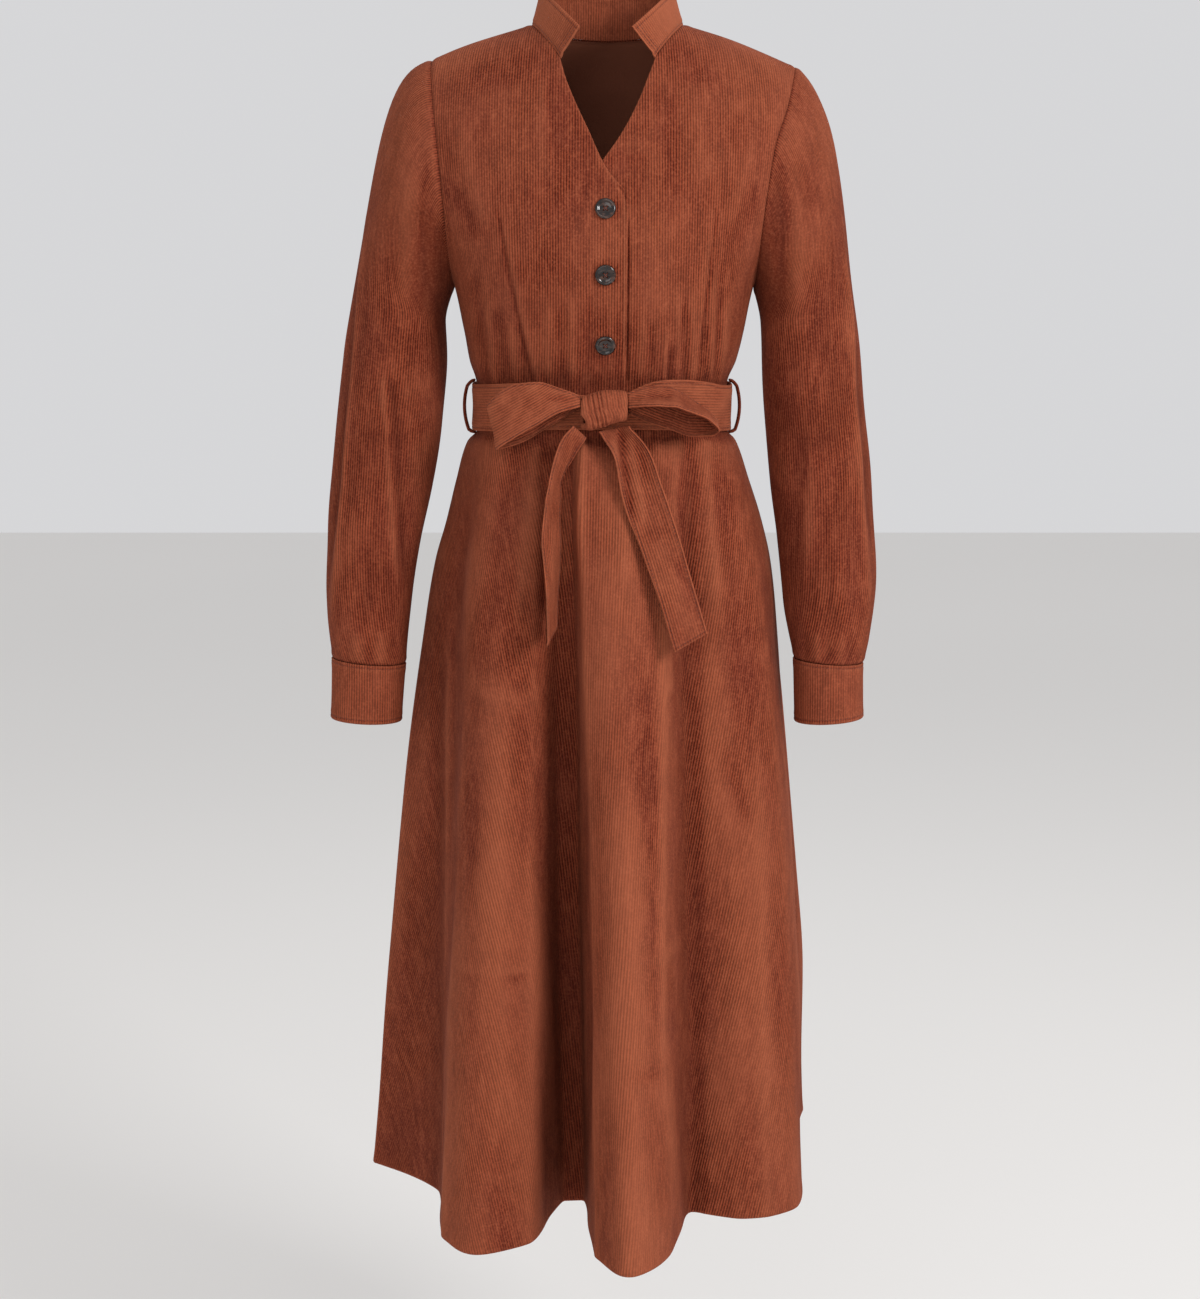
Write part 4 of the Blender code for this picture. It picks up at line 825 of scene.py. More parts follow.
first = int(np.searchsorted(rows, SIDE_ROWS + ARMHOLE_ROWS - NECK_ROWS - 1e-6))
behind = back[-1, (back_columns >= FRONT_COLUMNS) & (back_columns <= FRONT_COLUMNS + BACK_NECK_COLUMNS)]
foot = np.concatenate([fronts[1][first:, 0], behind[1:-1], fronts[-1][first:, -1][::-1]])
run = run_of(foot, 0)
even = np.linspace(0, run[-1], COLLAR_COLUMNS)
at = np.unique(np.concatenate([even, COLLAR_END_COLUMNS, run[-1] - COLLAR_END_COLUMNS]))
foot = on_line(foot, run, at)
share = at / at[-1]
along = 1 - np.abs(1 - 2 * share)
side = np.where(share < 0.5, 1, -1)
wide = np.where(side > 0, NOTCH[1][0] / NOTCH[-1][0], 1.0)
x = side * read(COLLAR_TOP, 1, along) * (1 + (wide - 1) * (1 - along) ** 2) + NECK_SHIFT * along
top = np.stack([x, read(COLLAR_TOP, 2, along), read(COLLAR_TOP, 3, along)], -1)
rise = (spaced(3, 5, (0.04, 0.1, 0.2, 0.32)) / 3)[:, None, None]
points = foot[None] * (1 - rise) + top[None] * rise
grain = np.stack([np.repeat(at[None], len(rise), 0), run_of(points, 0)], -1)
edges = {"foot": (0, COLLAR_FOOT_STITCH), "top": (1, COLLAR_TOP_STITCH)}
edges.update({end: (1, *COLLAR_END_STITCHES) for end in ("left", "right")})
# Its pile is painted lighter all over: painted light for the collar's ends, which turn from the lamps.
options = {"wall": DOUBLE_WALL, "edges": edges, "meet": {"foot": UPWARD}, "brushed_and_painted_light": 0.6}
piece, outer, facing = cloth("collar", points, grain, **options)
declare(piece, "collar")
lines = [line_along(outer, facing, "top", COLLAR_TOP_STITCH, 0.02, 0.98)]
lines.append(line_along(outer, facing, "foot", COLLAR_FOOT_STITCH))
for end in ("left", "right"):
    lines += [line_along(outer, facing, end, far, 0.1, 0.93) for far in COLLAR_END_STITCHES]
stitches("collar_stitches", lines, thread)


# ---- sleeves and cuffs -----------------------------------------------------------------------------------
# Long set-in sleeves cut from one piece of corduroy each, eased into the armhole and drawn in over the cuffs.
# The cuffs are turned bands of two layers, stitched along their upper edge.

SLEEVE = [  # height, middle right and left, half width right and left, depth, forward, tilt right and left
    (-0.2850, 0.2080, 0.2055, 0.0475, 0.0478, 0.0590, 0.0000, 10.0, 10.0),
    (-0.3300, 0.2115, 0.2098, 0.0515, 0.0495, 0.0570, 0.0010, 8.0, 8.0),
    (-0.3900, 0.2188, 0.2160, 0.0532, 0.0510, 0.0550, 0.0020, 5.0, 5.0),
    (-0.4500, 0.2268, 0.2220, 0.0507, 0.0518, 0.0530, 0.0000, 5.0, 5.0),
    (-0.5100, 0.2348, 0.2270, 0.0477, 0.0502, 0.0500, -0.0080, 5.0, 3.0),
    (-0.5700, 0.2400, 0.2315, 0.0440, 0.0465, 0.0450, -0.0180, 5.0, 0.0),
    (-0.6100, 0.2410, 0.2310, 0.0405, 0.0410, 0.0405, -0.0260, 5.0, -2.0),
    (-0.6330, 0.2405, 0.2300, 0.0378, 0.0358, 0.0345, -0.0310, 5.0, -3.5),
]
CUFF = [
    (-0.6335, 0.2405, 0.2295, 0.0378, 0.0358, 0.0345, -0.0310, 5.0, -3.5),
    (-0.6640, 0.2420, 0.2300, 0.0368, 0.0355, 0.0340, -0.0345, 4.0, 0.0),
    (-0.6930, 0.2435, 0.2305, 0.0362, 0.0352, 0.0335, -0.0380, 3.0, 4.0),
]
UNDERARM_LEAVE, CAP_LEAVE = (0.25, -0.97), {-1: (0.97, -0.10), 1: (0.80, -0.60)}
CAP_FULLNESS, CAP_FALL = 0.75, {-1: 0.0050, 1: 0.0005}
CAP_ROWS, CAP_STEP, SLEEVE_ROWS = 5, 0.020, 9
CUFF_TOP_STITCH, CUFF_FOOT_STITCH = 3.0, 4.0  # mm from the edge
BACK_OF_SLEEVE = 0.8  # height of the creases behind the arm, as a share of those in front
SLEEVE_CREASES = {
    -1: [
        (-236, -176, -257, -376, -277, -600, 3.2, 3.0),  # long pressed fold down the outside of the arm
        (-242, -190, -264, -384, -284, -592, 5.5, -4.0),
        (-219, -350, -215, -470, -206, -580, 3.6, 2.4),  # fold on the inside of the forearm
        (-210, -356, -205, -470, -197, -566, 6.0, -3.0),
        (-172, -120, -178, -200, -176, -280, 7.0, -1.5),  # from the armhole down the front
        (-186, -130, -194, -210, -198, -300, 9.0, 1.6),
        (-172, -300, -200, -322, -232, -318, 9.0, -0.8),  # faint at the elbow
        (-176, -345, -205, -370, -236, -366, 10.0, 0.9),
        (-180, -395, -205, -412, -232, -404, 9.0, -0.8),
        (-228, -470, -236, -540, -243, -612, 9.0, -1.2),
        (-212, -600, -214, -618, -214, -632, 3.6, -1.4),  # gathers into the cuff
        (-224, -598, -226, -615, -226, -632, 4.0, 1.3),
        (-236, -602, -237, -618, -237, -632, 3.6, -1.4),
        (-249, -598, -249, -615, -248, -632, 4.0, 1.3),
        (-260, -600, -260, -618, -259, -632, 3.6, -1.2),
    ],
    1: [
        (236, -160, 251, -350, 271, -596, 3.6, 2.4),
        (243, -180, 259, -356, 279, -588, 5.5, -3.0),
        (208, -378, 206, -480, 200, -580, 5.5, 1.2),
        (197, -390, 195, -470, 189, -566, 8.5, -1.5),
        (214, -230, 234, -380, 240, -520, 14.0, -1.8),
        (170, -120, 176, -200, 172, -285, 7.0, -1.6),
        (184, -130, 190, -220, 190, -310, 9.0, 1.6),
        (170, -300, 196, -326, 228, -320, 9.0, -0.8),
        (174, -350, 200, -373, 230, -365, 10.0, 0.9),
        (178, -398, 202, -415, 228, -404, 9.0, -0.8),
        (216, -460, 226, -540, 234, -612, 9.0, -1.2),
        (203, -600, 204, -618, 204, -632, 3.6, -1.4),
        (214, -598, 215, -615, 215, -632, 4.0, 1.3),
        (226, -602, 226, -618, 226, -632, 3.6, -1.4),
        (240, -598, 239, -615, 238, -632, 4.0, 1.3),
        (251, -600, 250, -618, 249, -632, 3.6, -1.2),
    ],
}


def sleeve_ring(table, side, height, turn):
    """Section of a sleeve or cuff. turn is 0 on the outside of the arm and pi next to the body."""
    k = 0 if side < 0 else 1
    middle, half = read(table, 1 + k, height), read(table, 3 + k, height)
    tilt = np.tan(np.radians(read(table, 7 + k, height)))
    x = side * (middle + half * np.cos(turn))
    y = read(table, 6, height) - read(table, 5, height) * np.sin(turn)
    return np.stack([x, y, height + tilt * half * np.cos(turn)], -1)


def ring_grain(points):
    """Places on the flat cloth of a ring's grid: across from its first column, and down."""
    wide = np.concatenate([points, points[:, :1]], 1)
    across, down = run_of(wide, 1), run_of(points, 0)
    middle = across[:, -1:] / 2
    across = np.where(across > middle, across - 2 * middle, across)
    return np.stack([across, np.concatenate([down, down[:, :1]], 1)], -1)


for side, arm in ((-1, "right"), (1, "left")):
    armhole_rows = rows[rows >= SIDE_ROWS]
    low = int(np.searchsorted(rows, SIDE_ROWS))
    down_front = fronts[side][low:, 0 if side < 0 else -1][::-1]
    up_back = back[low:, -1 if side < 0 else 0]
    armhole = np.concatenate([down_front, up_back[1:-1]])
    front_facing = grid_normals(fronts[side], False, False)[low:, 0 if side < 0 else -1][::-1]
    back_facing = grid_normals(back, False, False)[low:, -1 if side < 0 else 0]
    seam_facing = np.concatenate([front_facing, back_facing[1:-1]])
    climb = armhole_rows[1:-1] - armhole_rows[0] + ARMHOLE_ROWS
    turn = math.pi * np.concatenate([armhole_rows[-1] - armhole_rows[::-1], climb]) / ARMHOLE_ROWS
    ring, below = (sleeve_ring(SLEEVE, side, SLEEVE[0][0] - drop, turn) for drop in (0, CAP_STEP))
    outside = ((1 + np.cos(turn)) / 2)[:, None]
    leave = np.array([[side * UNDERARM_LEAVE[0], 0, UNDERARM_LEAVE[1]]]) * (1 - outside)
    leave = leave + np.array([[side * CAP_LEAVE[side][0], 0, CAP_LEAVE[side][1]]]) * outside
    span = np.linalg.norm(ring - armhole, axis=1, keepdims=True)
    fall = np.array([[-side * CAP_FALL[side], 0, 0]]) * outside
    layers = []
    for t in spaced(CAP_ROWS, 6)[:-1] / CAP_ROWS:
        layer = (2 * t**3 - 3 * t**2 + 1) * armhole + (3 * t**2 - 2 * t**3) * ring
        layer = layer + (t**3 - 2 * t**2 + t) * leave * span * CAP_FULLNESS
        layer = layer + (t**3 - t**2) * (below - ring) / CAP_STEP * span
        layers.append(layer + math.sin(math.pi * t) ** 2 * fall)
    for t in spaced(SLEEVE_ROWS, 9, (0.05, 0.1, 0.2)) / SLEEVE_ROWS:
        layers.append(sleeve_ring(SLEEVE, side, SLEEVE[0][0] + (SLEEVE[-1][0] - SLEEVE[0][0]) * t, turn))
    points = np.array(layers)

    behind = [(*line, BACK_OF_SLEEVE * height) for *line, height in SLEEVE_CREASES[side]]
    relief = creased(SLEEVE_CREASES[side], behind, 7 + side, 0.0009, 0.07, 2.2)
    both = {"ring": True, "turned": side < 0}
    options = {"edges": {"foot": (0,), "top": (0,)}, "relief": relief, "meet": {"foot": seam_facing}}
    # Its pile is painted darker all over: painted shade for the light that the sleeves get.
    piece, *_ = cloth(f"sleeve_{arm}", points, ring_grain(points), brushed_and_painted_light=-0.2, **both, **options)
    declare(piece, f"sleeve_{arm}")

    heights = CUFF[0][0] + (CUFF[-1][0] - CUFF[0][0]) * spaced(2, 9, (0.03, 0.07, 0.13, 0.2)) / 2
    points = np.array([sleeve_ring(CUFF, side, height, turn) for height in heights])
    sewn = {"foot": CUFF_TOP_STITCH, "top": CUFF_FOOT_STITCH}  # the grid starts at the cuff's upper edge
    options = {"wall": DOUBLE_WALL, "edges": {edge: (1, far) for edge, far in sewn.items()}}
    piece, outer, facing = cloth(f"cuff_{arm}", points, ring_grain(points), brushed_and_painted_light=0.2, **both, **options)
    declare(piece, f"cuff_{arm}")
    lines = [line_along(outer, facing, edge, far) for edge, far in sewn.items()]
    stitches(f"cuff_stitches_{arm}", lines, thread)


# ---- skirt -----------------------------------------------------------------------------------------------
# Two flared halves of corduroy sewn at the sides and into the waist seam under the belt. The flare hangs in
# large soft folds, three of them in front, with a plain turned hem.

BELT_FOOT, HEM = -0.4015, -1.190
SPREAD = [  # height, share of the way from the waist outline to the hem's: right, left, depth; then the hips
    (-0.3730, 0.000, 0.000, 0.000, 0.00),
    (-0.4010, 0.010, 0.014, 0.004, 0.00),
    (-0.4150, 0.088, 0.110, 0.045, 0.18),
    (-0.4520, 0.178, 0.255, 0.110, 0.55),
    (-0.4930, 0.270, 0.400, 0.170, 0.85),
    (-0.5350, 0.377, 0.508, 0.230, 1.00),
    (-0.6180, 0.496, 0.620, 0.330, 0.90),
    (-0.7460, 0.647, 0.747, 0.480, 0.50),
    (-0.8970, 0.773, 0.872, 0.655, 0.15),
    (-1.0070, 0.867, 0.950, 0.785, 0.00),
    (-1.1190, 0.943, 0.975, 0.915, 0.00),
    (-1.1900, 1.000, 1.000, 1.000, 0.00),
]
HIP_FRONT, HIP_BACK = 0.020, 0.028
HEM_SHARE, SKIRT_EASE, SKIRT_ROWS, SKIRT_COLUMNS = 0.75, 1.3, 9, 38
FRONT_FOLDS = [  # degrees round the waist, then the fold's place in the hem, x and y
    (-90.0, -0.2490, 0.0020),
    (-69.0, -0.1740, -0.0800),
    (-57.0, -0.1590, -0.1930),
    (-42.0, -0.1250, -0.2345),
    (-28.0, -0.0735, -0.2085),
    (-17.0, -0.0405, -0.1010),
    (-12.0, -0.0215, -0.1010),
    (-8.0, -0.0080, -0.2400),
    (5.0, 0.0240, -0.2840),
    (17.0, 0.0630, -0.2360),
    (32.0, 0.0910, -0.1310),
    (47.0, 0.1400, -0.1490),
    (66.0, 0.2005, -0.1150),
    (90.0, 0.2130, 0.0200),
]
BACK_FOLDS = [
    (90.0, 0.2130, 0.0200),
    (103.0, 0.2150, 0.0850),
    (122.0, 0.2300, 0.1560),
    (137.0, 0.1680, 0.1760),
    (150.0, 0.1080, 0.1500),
    (168.0, 0.0560, 0.2260),
    (183.0, 0.0020, 0.2250),
    (197.0, -0.0420, 0.1620),
    (212.0, -0.0930, 0.1700),
    (227.0, -0.1480, 0.2120),
    (243.0, -0.1900, 0.1420),
    (257.0, -0.2330, 0.0860),
    (270.0, -0.2490, 0.0020),
]
SKIRT_CREASES = [
    (-20, -405, -26, -760, -12, -1195, 5.0, 3.6),  # sharp edge of the middle fold
    (-157, -560, -157, -850, -160, -1195, 5.0, 3.2),  # sharp edge of the right fold
    (-169, -600, -169, -850, -173, -1195, 7.0, -2.2),
    (56, -470, 55, -800, 57, -1060, 5.0, 2.8),
    (102, -560, 104, -850, 106, -1195, 16.0, 2.5),  # the left valley is a shallow one
    (-62, -600, -58, -850, -52, -1195, 6.0, 1.6),
    (70, -405, 66, -500, 62, -640, 7.0, 2.0),  # gathers under the belt
    (84, -405, 84, -480, 82, -600, 7.0, -2.2),
    (100, -408, 106, -480, 112, -590, 7.0, 2.2),
    (40, -405, 38, -470, 36, -560, 7.0, -1.8),
    (22, -405, 20, -460, 18, -540, 6.0, 1.4),
    (-46, -405, -52, -480, -58, -580, 7.0, -2.0),
    (-66, -405, -76, -480, -86, -600, 8.0, 2.0),
    (-88, -405, -104, -490, -120, -620, 8.0, -2.0),
    (-104, -620, -104, -850, -98, -1100, 16.0, 2.0),
    (-128, -700, -130, -900, -130, -1195, 12.0, -1.6),
    (20, -700, 24, -900, 26, -1195, 18.0, 1.8),
    (150, -620, 156, -850, 166, -1195, 12.0, 2.0),
    (120, -700, 130, -760, 150, -790, 9.0, -1.2),  # faint cross creases from wearing
    (40, -905, 70, -890, 96, -905, 8.0, 1.1),
    (-150, -918, -108, -926, -66, -915, 3.0, 1.6),
    (-150, -925, -108, -933, -66, -922, 3.0, -1.3),
    (66, -962, 90, -955, 108, -966, 3.0, -0.9),
    (70, -1096, 84, -1084, 100, -1098, 3.0, 0.8),
    (-128, -1120, -96, -1112, -70, -1126, 4.0, 0.8),
    (-130, -640, -90, -660, -60, -650, 9.0, 1.0),
    (10, -1010, 40, -1000, 66, -1015, 9.0, -1.0),
]
SKIRT_BACK_CREASES = [
    (-20, -405, -18, -700, 0, -1195, 9.0, 2.4),
    (50, -405, 52, -700, 56, -1195, 9.0, 2.4),
    (-60, -405, -76, -560, -92, -800, 9.0, -2.2),
    (80, -405, 96, -560, 106, -800, 9.0, -2.2),
    (-96, -405, -120, -560, -146, -900, 9.0, 2.2),
    (106, -405, 140, -560, 176, -900, 9.0, 2.2),
    (16, -405, 16, -480, 14, -600, 7.0, -1.8),
    (-40, -405, -42, -480, -44, -600, 7.0, 1.8),
]


def skirt(waist_angle, height):
    """Points of the skirt: a column leaves the waist at its angle and ends at its place in the hem."""
    waist_angle, height = np.broadcast_arrays(waist_angle, height)
    degrees = np.degrees(waist_angle)
    foot = [
        np.where(degrees <= 90, read(FRONT_FOLDS, k, degrees), read(BACK_FOLDS, k, degrees)) for k in (1, 2)
    ]
    right, left, depth, hips = (read(SPREAD, k, height) for k in (1, 2, 3, 4))
    spread = right + (left - right) * (1 + np.sin(waist_angle)) / 2
    top = torso(waist_angle, WAIST)
    ahead = np.cos(waist_angle)
    x = top[..., 0] + (foot[0] - top[..., 0]) * spread
    swell = np.where(ahead > 0, HIP_FRONT, HIP_BACK) * ahead * hips
    y = top[..., 1] + (foot[1] - top[..., 1]) * depth - swell
    return np.stack([x, y, height], -1)


def flared_grain(points, middle):
    """Places on a flared half laid flat: a part of a ring whose cords run parallel to its middle line."""
    across, down = run_of(points, 1), run_of(points, 0)[:, middle : middle + 1]
    across = across - across[:, middle : middle + 1]
    hem, top = np.ptp(across[0]), np.ptp(across[-1])
    spread = (hem - top) / down[-1, 0]
    radius = top / spread + down[-1, 0] - down
    turn = across / radius
    return np.stack([radius * np.sin(turn), radius * np.cos(turn)], -1)


# The skirt is pressed in under the belt, and comes free within this height below it.
PRESSED_IN, BELT_PRESS = 0.0006, 0.008
SKIRT_WAVES = (11, 0.0016, 0.12, 3.2)
SEAM_LOOK = 0.6, 0.002  # degrees and height to either side that a seam's facing is read from


def skirt_relief(*creases):
    def relief(points, normals):
        free = np.clip((BELT_FOOT - points[..., 2]) / BELT_PRESS, 0, 1)
        return creased(*creases, *SKIRT_WAVES)(points, normals) * free - PRESSED_IN * (1 - free)

    return relief


def side_seam_facing(front_degrees, back_degrees, heights):
    """The way a side seam of the skirt faces at each height, the same for both halves."""
    step = SEAM_LOOK[0] if back_degrees < 180 else -SEAM_LOOK[0]
    near, far = (skirt(np.radians(d), heights) for d in (front_degrees - step, back_degrees + step))
    across = (far - near) * np.sign(step)
    above, below = (skirt(np.radians(front_degrees), heights + k * SEAM_LOOK[1]) for k in (1, -1))
    facing = np.cross(across, above - below)
    return facing / np.linalg.norm(facing, axis=-1, keepdims=True)


for name, folds, cut, relief in (
    ("skirt_front", FRONT_FOLDS, (1.02, 0.86), skirt_relief(SKIRT_CREASES, ())),
    ("skirt_back", BACK_FOLDS, (0.92, 0.86), skirt_relief((), SKIRT_BACK_CREASES)),
):
    fine = np.radians(np.linspace(folds[0][0], folds[-1][0], 721))
    run = run_of(skirt(fine, HEM), 0)
    measure = HEM_SHARE * run / run[-1] + (1 - HEM_SHARE) * np.linspace(0, 1, len(fine))
    angles = np.interp(spaced(SKIRT_COLUMNS, 7, (0.04, 0.1)) / SKIRT_COLUMNS, measure, fine)
    share = spaced(SKIRT_ROWS, 14, (0.01, 0.03)) / SKIRT_ROWS
    heights = BELT_FOOT + (HEM - BELT_FOOT) * (1 - share) ** SKIRT_EASE
    heights = np.append(heights, (WAIST + BELT_FOOT) / 2 + np.array([-0.004, 0.006]))
    heights = np.append(heights, WAIST - SEAM_GAP)
    points = skirt(angles[None, :], heights[:, None])
    grain = flared_grain(points, len(angles) // 2)
    seams = side_seam_facing(-90, 270, heights), side_seam_facing(90, 90, heights)
    meet = dict(zip(("left", "right") if name == "skirt_front" else ("right", "left"), seams))
    edges = {"top": (0,), "left": (0,), "right": (0,)}
    piece, *_ = cloth(name, points, grain, edges=edges, relief=relief, meet=meet)
    declare(piece, name)


# ---- belt ------------------------------------------------------------------------------------------------
# A tie belt of doubled corduroy, its cords lengthwise, turned and topstitched along both edges. It lies over
# the waist seam and passes under a thin rolled loop of the same cloth at each side.

BELT_WIDTH, BELT_MIDDLE, BELT_STANDOFF = 0.0460, -0.3700, 0.0048
BELT_COLUMNS = 220
BELT_STITCH = 3.0  # mm from each edge
BELT_SLACK, SLACK_WAVE, SLACK_FADE = 0.0012, 9.0, 40  # height in metres, then mm from the knot
BELT_FLARE = 0.6  # how far the upper edge stands off the bodice, as a share of its rise
BELT_EDGE = [  # across the front, how far the upper edge is drawn down to the knot or stands up
    (-0.1300, 0.0000),
    (-0.0850, 0.0000),
    (-0.0640, -0.0022),
    (-0.0430, -0.0078),
    (-0.0230, -0.0128),
    (0.0000, -0.0140),
    (0.0220, -0.0105),
    (0.0330, -0.0055),
    (0.0450, -0.0005),
    (0.0600, 0.0026),
    (0.0800, 0.0034),
    (0.0980, 0.0026),
    (0.1170, -0.0006),
    (0.1300, -0.0022),
]

angles = 2 * math.pi * np.arange(BELT_COLUMNS) / BELT_COLUMNS
layers = []
for up in spaced(2, 8, (0.02, 0.05, 0.09, 0.16)) / 2 - 0.5:
    ring = torso(angles, WAIST)
    ring[:, 0] += BELT_STANDOFF * np.sin(angles)
    ring[:, 1] -= BELT_STANDOFF * np.cos(angles)
    ring[:, 2] = BELT_MIDDLE - BELT_DROP * np.sin(angles) ** 2 + up * BELT_WIDTH
    rise = np.clip(2 * np.cos(angles), 0, 1) * read(BELT_EDGE, 1, ring[:, 0])
    ring[:, 1] -= (up + 0.5) ** 2 * np.maximum(rise, 0) * BELT_FLARE
    ring[:, 2] += (up + 0.5) * rise
    layers.append(ring)
points = np.array(layers)


def belt_relief(points, normals):
    """Slack waves, and the upper edge drawn down into the knot from both sides."""
    from_knot = np.abs(points[..., 0]) * 1000
    front = np.clip(-normals[..., 1] * 2, 0, 1)
    upper = np.clip((points[..., 2] - BELT_MIDDLE) / BELT_WIDTH * 2, 0, 1)
    drawn = BELT_SLACK * np.sin(from_knot / SLACK_WAVE) * np.exp(-from_knot / SLACK_FADE) * front * upper
    return drawn + unevenness(points, 21, 0.0006, 0.06, 0.8)


def lengthwise(points):
    """Places on a closed band whose cords run along it: across its width from its foot, and along it."""
    wide = np.concatenate([points, points[:, :1]], 1)
    return np.stack([run_of(wide, 0), run_of(wide, 1)], -1)


def band_grain(points):
    """The same on an open band, whose length is the way up its grid."""
    return np.stack([run_of(points, 1), run_of(points, 0)], -1)


edges = {edge: (1, BELT_STITCH) for edge in ("foot", "top")}
# Its pile is painted lighter all over: fresher, brushed pile, and painted light on its lengthwise cords.
options = {"wall": DOUBLE_WALL, "ring": True, "edges": edges, "relief": belt_relief, "brushed_and_painted_light": 0.4}
piece, outer, facing = cloth("belt_band", points, lengthwise(points), **options)
declare(piece, "belt_band")
stitches("belt_stitches", [line_along(outer, facing, edge, BELT_STITCH) for edge in edges], thread)

BELT_LOOP_WIDTH, BELT_LOOP_BOW, BELT_LOOP_TOP, BELT_LOOP_FOOT = 0.0060, 0.0072, -0.3490, -0.4042
BELT_LOOP_WALL, BELT_LOOP_LIFT = 0.0034, 0.0022  # thickness, and how far it stands off the belt
BELT_LOOP_SEATS = 0.0011, -0.0005  # its ends slant into the cloth: the outer face's place at top and foot
for side, end in ((-1, "right"), (1, "left")):
    angle = side * math.pi / 2
    belt_x = torso(angle, WAIST)[0] + side * BELT_STANDOFF
    share = np.linspace(0, 1, 33)
    z = BELT_LOOP_TOP + (BELT_LOOP_FOOT - BELT_LOOP_TOP) * share
    ends = torso(angle, BELT_LOOP_TOP)[0], belt_x, belt_x, skirt(angle, BELT_LOOP_FOOT)[0]
    seat_top, seat_foot = BELT_LOOP_SEATS
    lift = np.interp(share, (0, 0.06, 0.95, 1), (seat_top, BELT_LOOP_LIFT, BELT_LOOP_LIFT, seat_foot))
    bow = BELT_LOOP_BOW * np.sin(math.pi * share) ** 0.6
    x = np.interp(share, (0, 0.12, 0.95, 1), ends) + side * (lift + bow)
    ys = np.linspace(-0.5, 0.5, 9) * BELT_LOOP_WIDTH
    points = np.stack([np.stack([x, np.full_like(x, y), z], -1) for y in ys[::-side]], 1)
    piece, *_ = cloth(f"belt_loop_{end}", points, band_grain(points), wall=BELT_LOOP_WALL, brushed_and_painted_light=-0.8)
    declare(piece, f"belt_loop_{end}")


# ---- bow -------------------------------------------------------------------------------------------------
# The belt's ends tied in front: a wrapped knot with creases slanting round it, two open loops and two tails,
# whose ends are cut on a slant. All of it is the same doubled band, cords lengthwise, stitched at its edges.

LOOP_RIGHT = [  # upper edge x, y, z, then lower edge x, y, z, from the knot out and back
    (-0.0231, -0.1150, -0.3590, -0.0231, -0.1180, -0.3690),
    (-0.0427, -0.1180, -0.3515, -0.0415, -0.1230, -0.3738),
    (-0.0640, -0.1190, -0.3455, -0.0650, -0.1260, -0.3865),
    (-0.0860, -0.1160, -0.3475, -0.0860, -0.1240, -0.3985),
    (-0.1060, -0.1110, -0.3590, -0.1010, -0.1190, -0.4085),
    (-0.1150, -0.1050, -0.3680, -0.1050, -0.1100, -0.4120),
    (-0.1060, -0.1005, -0.3630, -0.0990, -0.1030, -0.4110),
    (-0.0830, -0.1005, -0.3580, -0.0800, -0.1035, -0.4050),
    (-0.0560, -0.1010, -0.3550, -0.0545, -0.1040, -0.3905),
    (-0.0360, -0.1020, -0.3560, -0.0350, -0.1040, -0.3790),
    (-0.0231, -0.1030, -0.3610, -0.0231, -0.1040, -0.3710),
]
LOOP_LEFT = [
    (0.0231, -0.1130, -0.3560, 0.0231, -0.1180, -0.3700),
    (0.0445, -0.1100, -0.3500, 0.0440, -0.1310, -0.3680),
    (0.0620, -0.1080, -0.3500, 0.0650, -0.1380, -0.3680),
    (0.0840, -0.1080, -0.3610, 0.0870, -0.1390, -0.3735),
    (0.1010, -0.1060, -0.3730, 0.1040, -0.1340, -0.3820),
    (0.1110, -0.1020, -0.3830, 0.1120, -0.1230, -0.3930),
    (0.1030, -0.0990, -0.3790, 0.1040, -0.1130, -0.3985),
    (0.0850, -0.0985, -0.3680, 0.0870, -0.1080, -0.3990),
    (0.0640, -0.0990, -0.3610, 0.0660, -0.1060, -0.3930),
    (0.0400, -0.1010, -0.3590, 0.0390, -0.1050, -0.3835),
    (0.0231, -0.1030, -0.3610, 0.0231, -0.1050, -0.3765),
]
TAIL_RIGHT = [
    (-0.0215, -0.1140, -0.3800, -0.0100, -0.1080, -0.3895),
    (-0.0425, -0.1300, -0.4036, -0.0290, -0.1140, -0.4200),
    (-0.0525, -0.1420, -0.4377, -0.0405, -0.1180, -0.4445),
    (-0.0574, -0.1490, -0.4693, -0.0415, -0.1210, -0.4693),
    (-0.0593, -0.1530, -0.4970, -0.0415, -0.1240, -0.4970),
    (-0.0560, -0.1610, -0.5355, -0.0425, -0.1280, -0.5300),
    (-0.0552, -0.1680, -0.5680, -0.0445, -0.1340, -0.5580),
    (-0.0540, -0.1740, -0.5950, -0.0457, -0.1400, -0.5830),
]
TAIL_LEFT = [
    (-0.0060, -0.1110, -0.3905, 0.0215, -0.1110, -0.3860),
    (0.0096, -0.1250, -0.4188, 0.0440, -0.1230, -0.4130),
    (0.0173, -0.1370, -0.4557, 0.0560, -0.1350, -0.4450),
    (0.0347, -0.1520, -0.5026, 0.0705, -0.1480, -0.4870),
    (0.0530, -0.1640, -0.5529, 0.0850, -0.1590, -0.5353),
    (0.0675, -0.1740, -0.6011, 0.0992, -0.1680, -0.5835),
]
TAIL_TROUGH, TROUGH_REACH = 0.010, 0.6
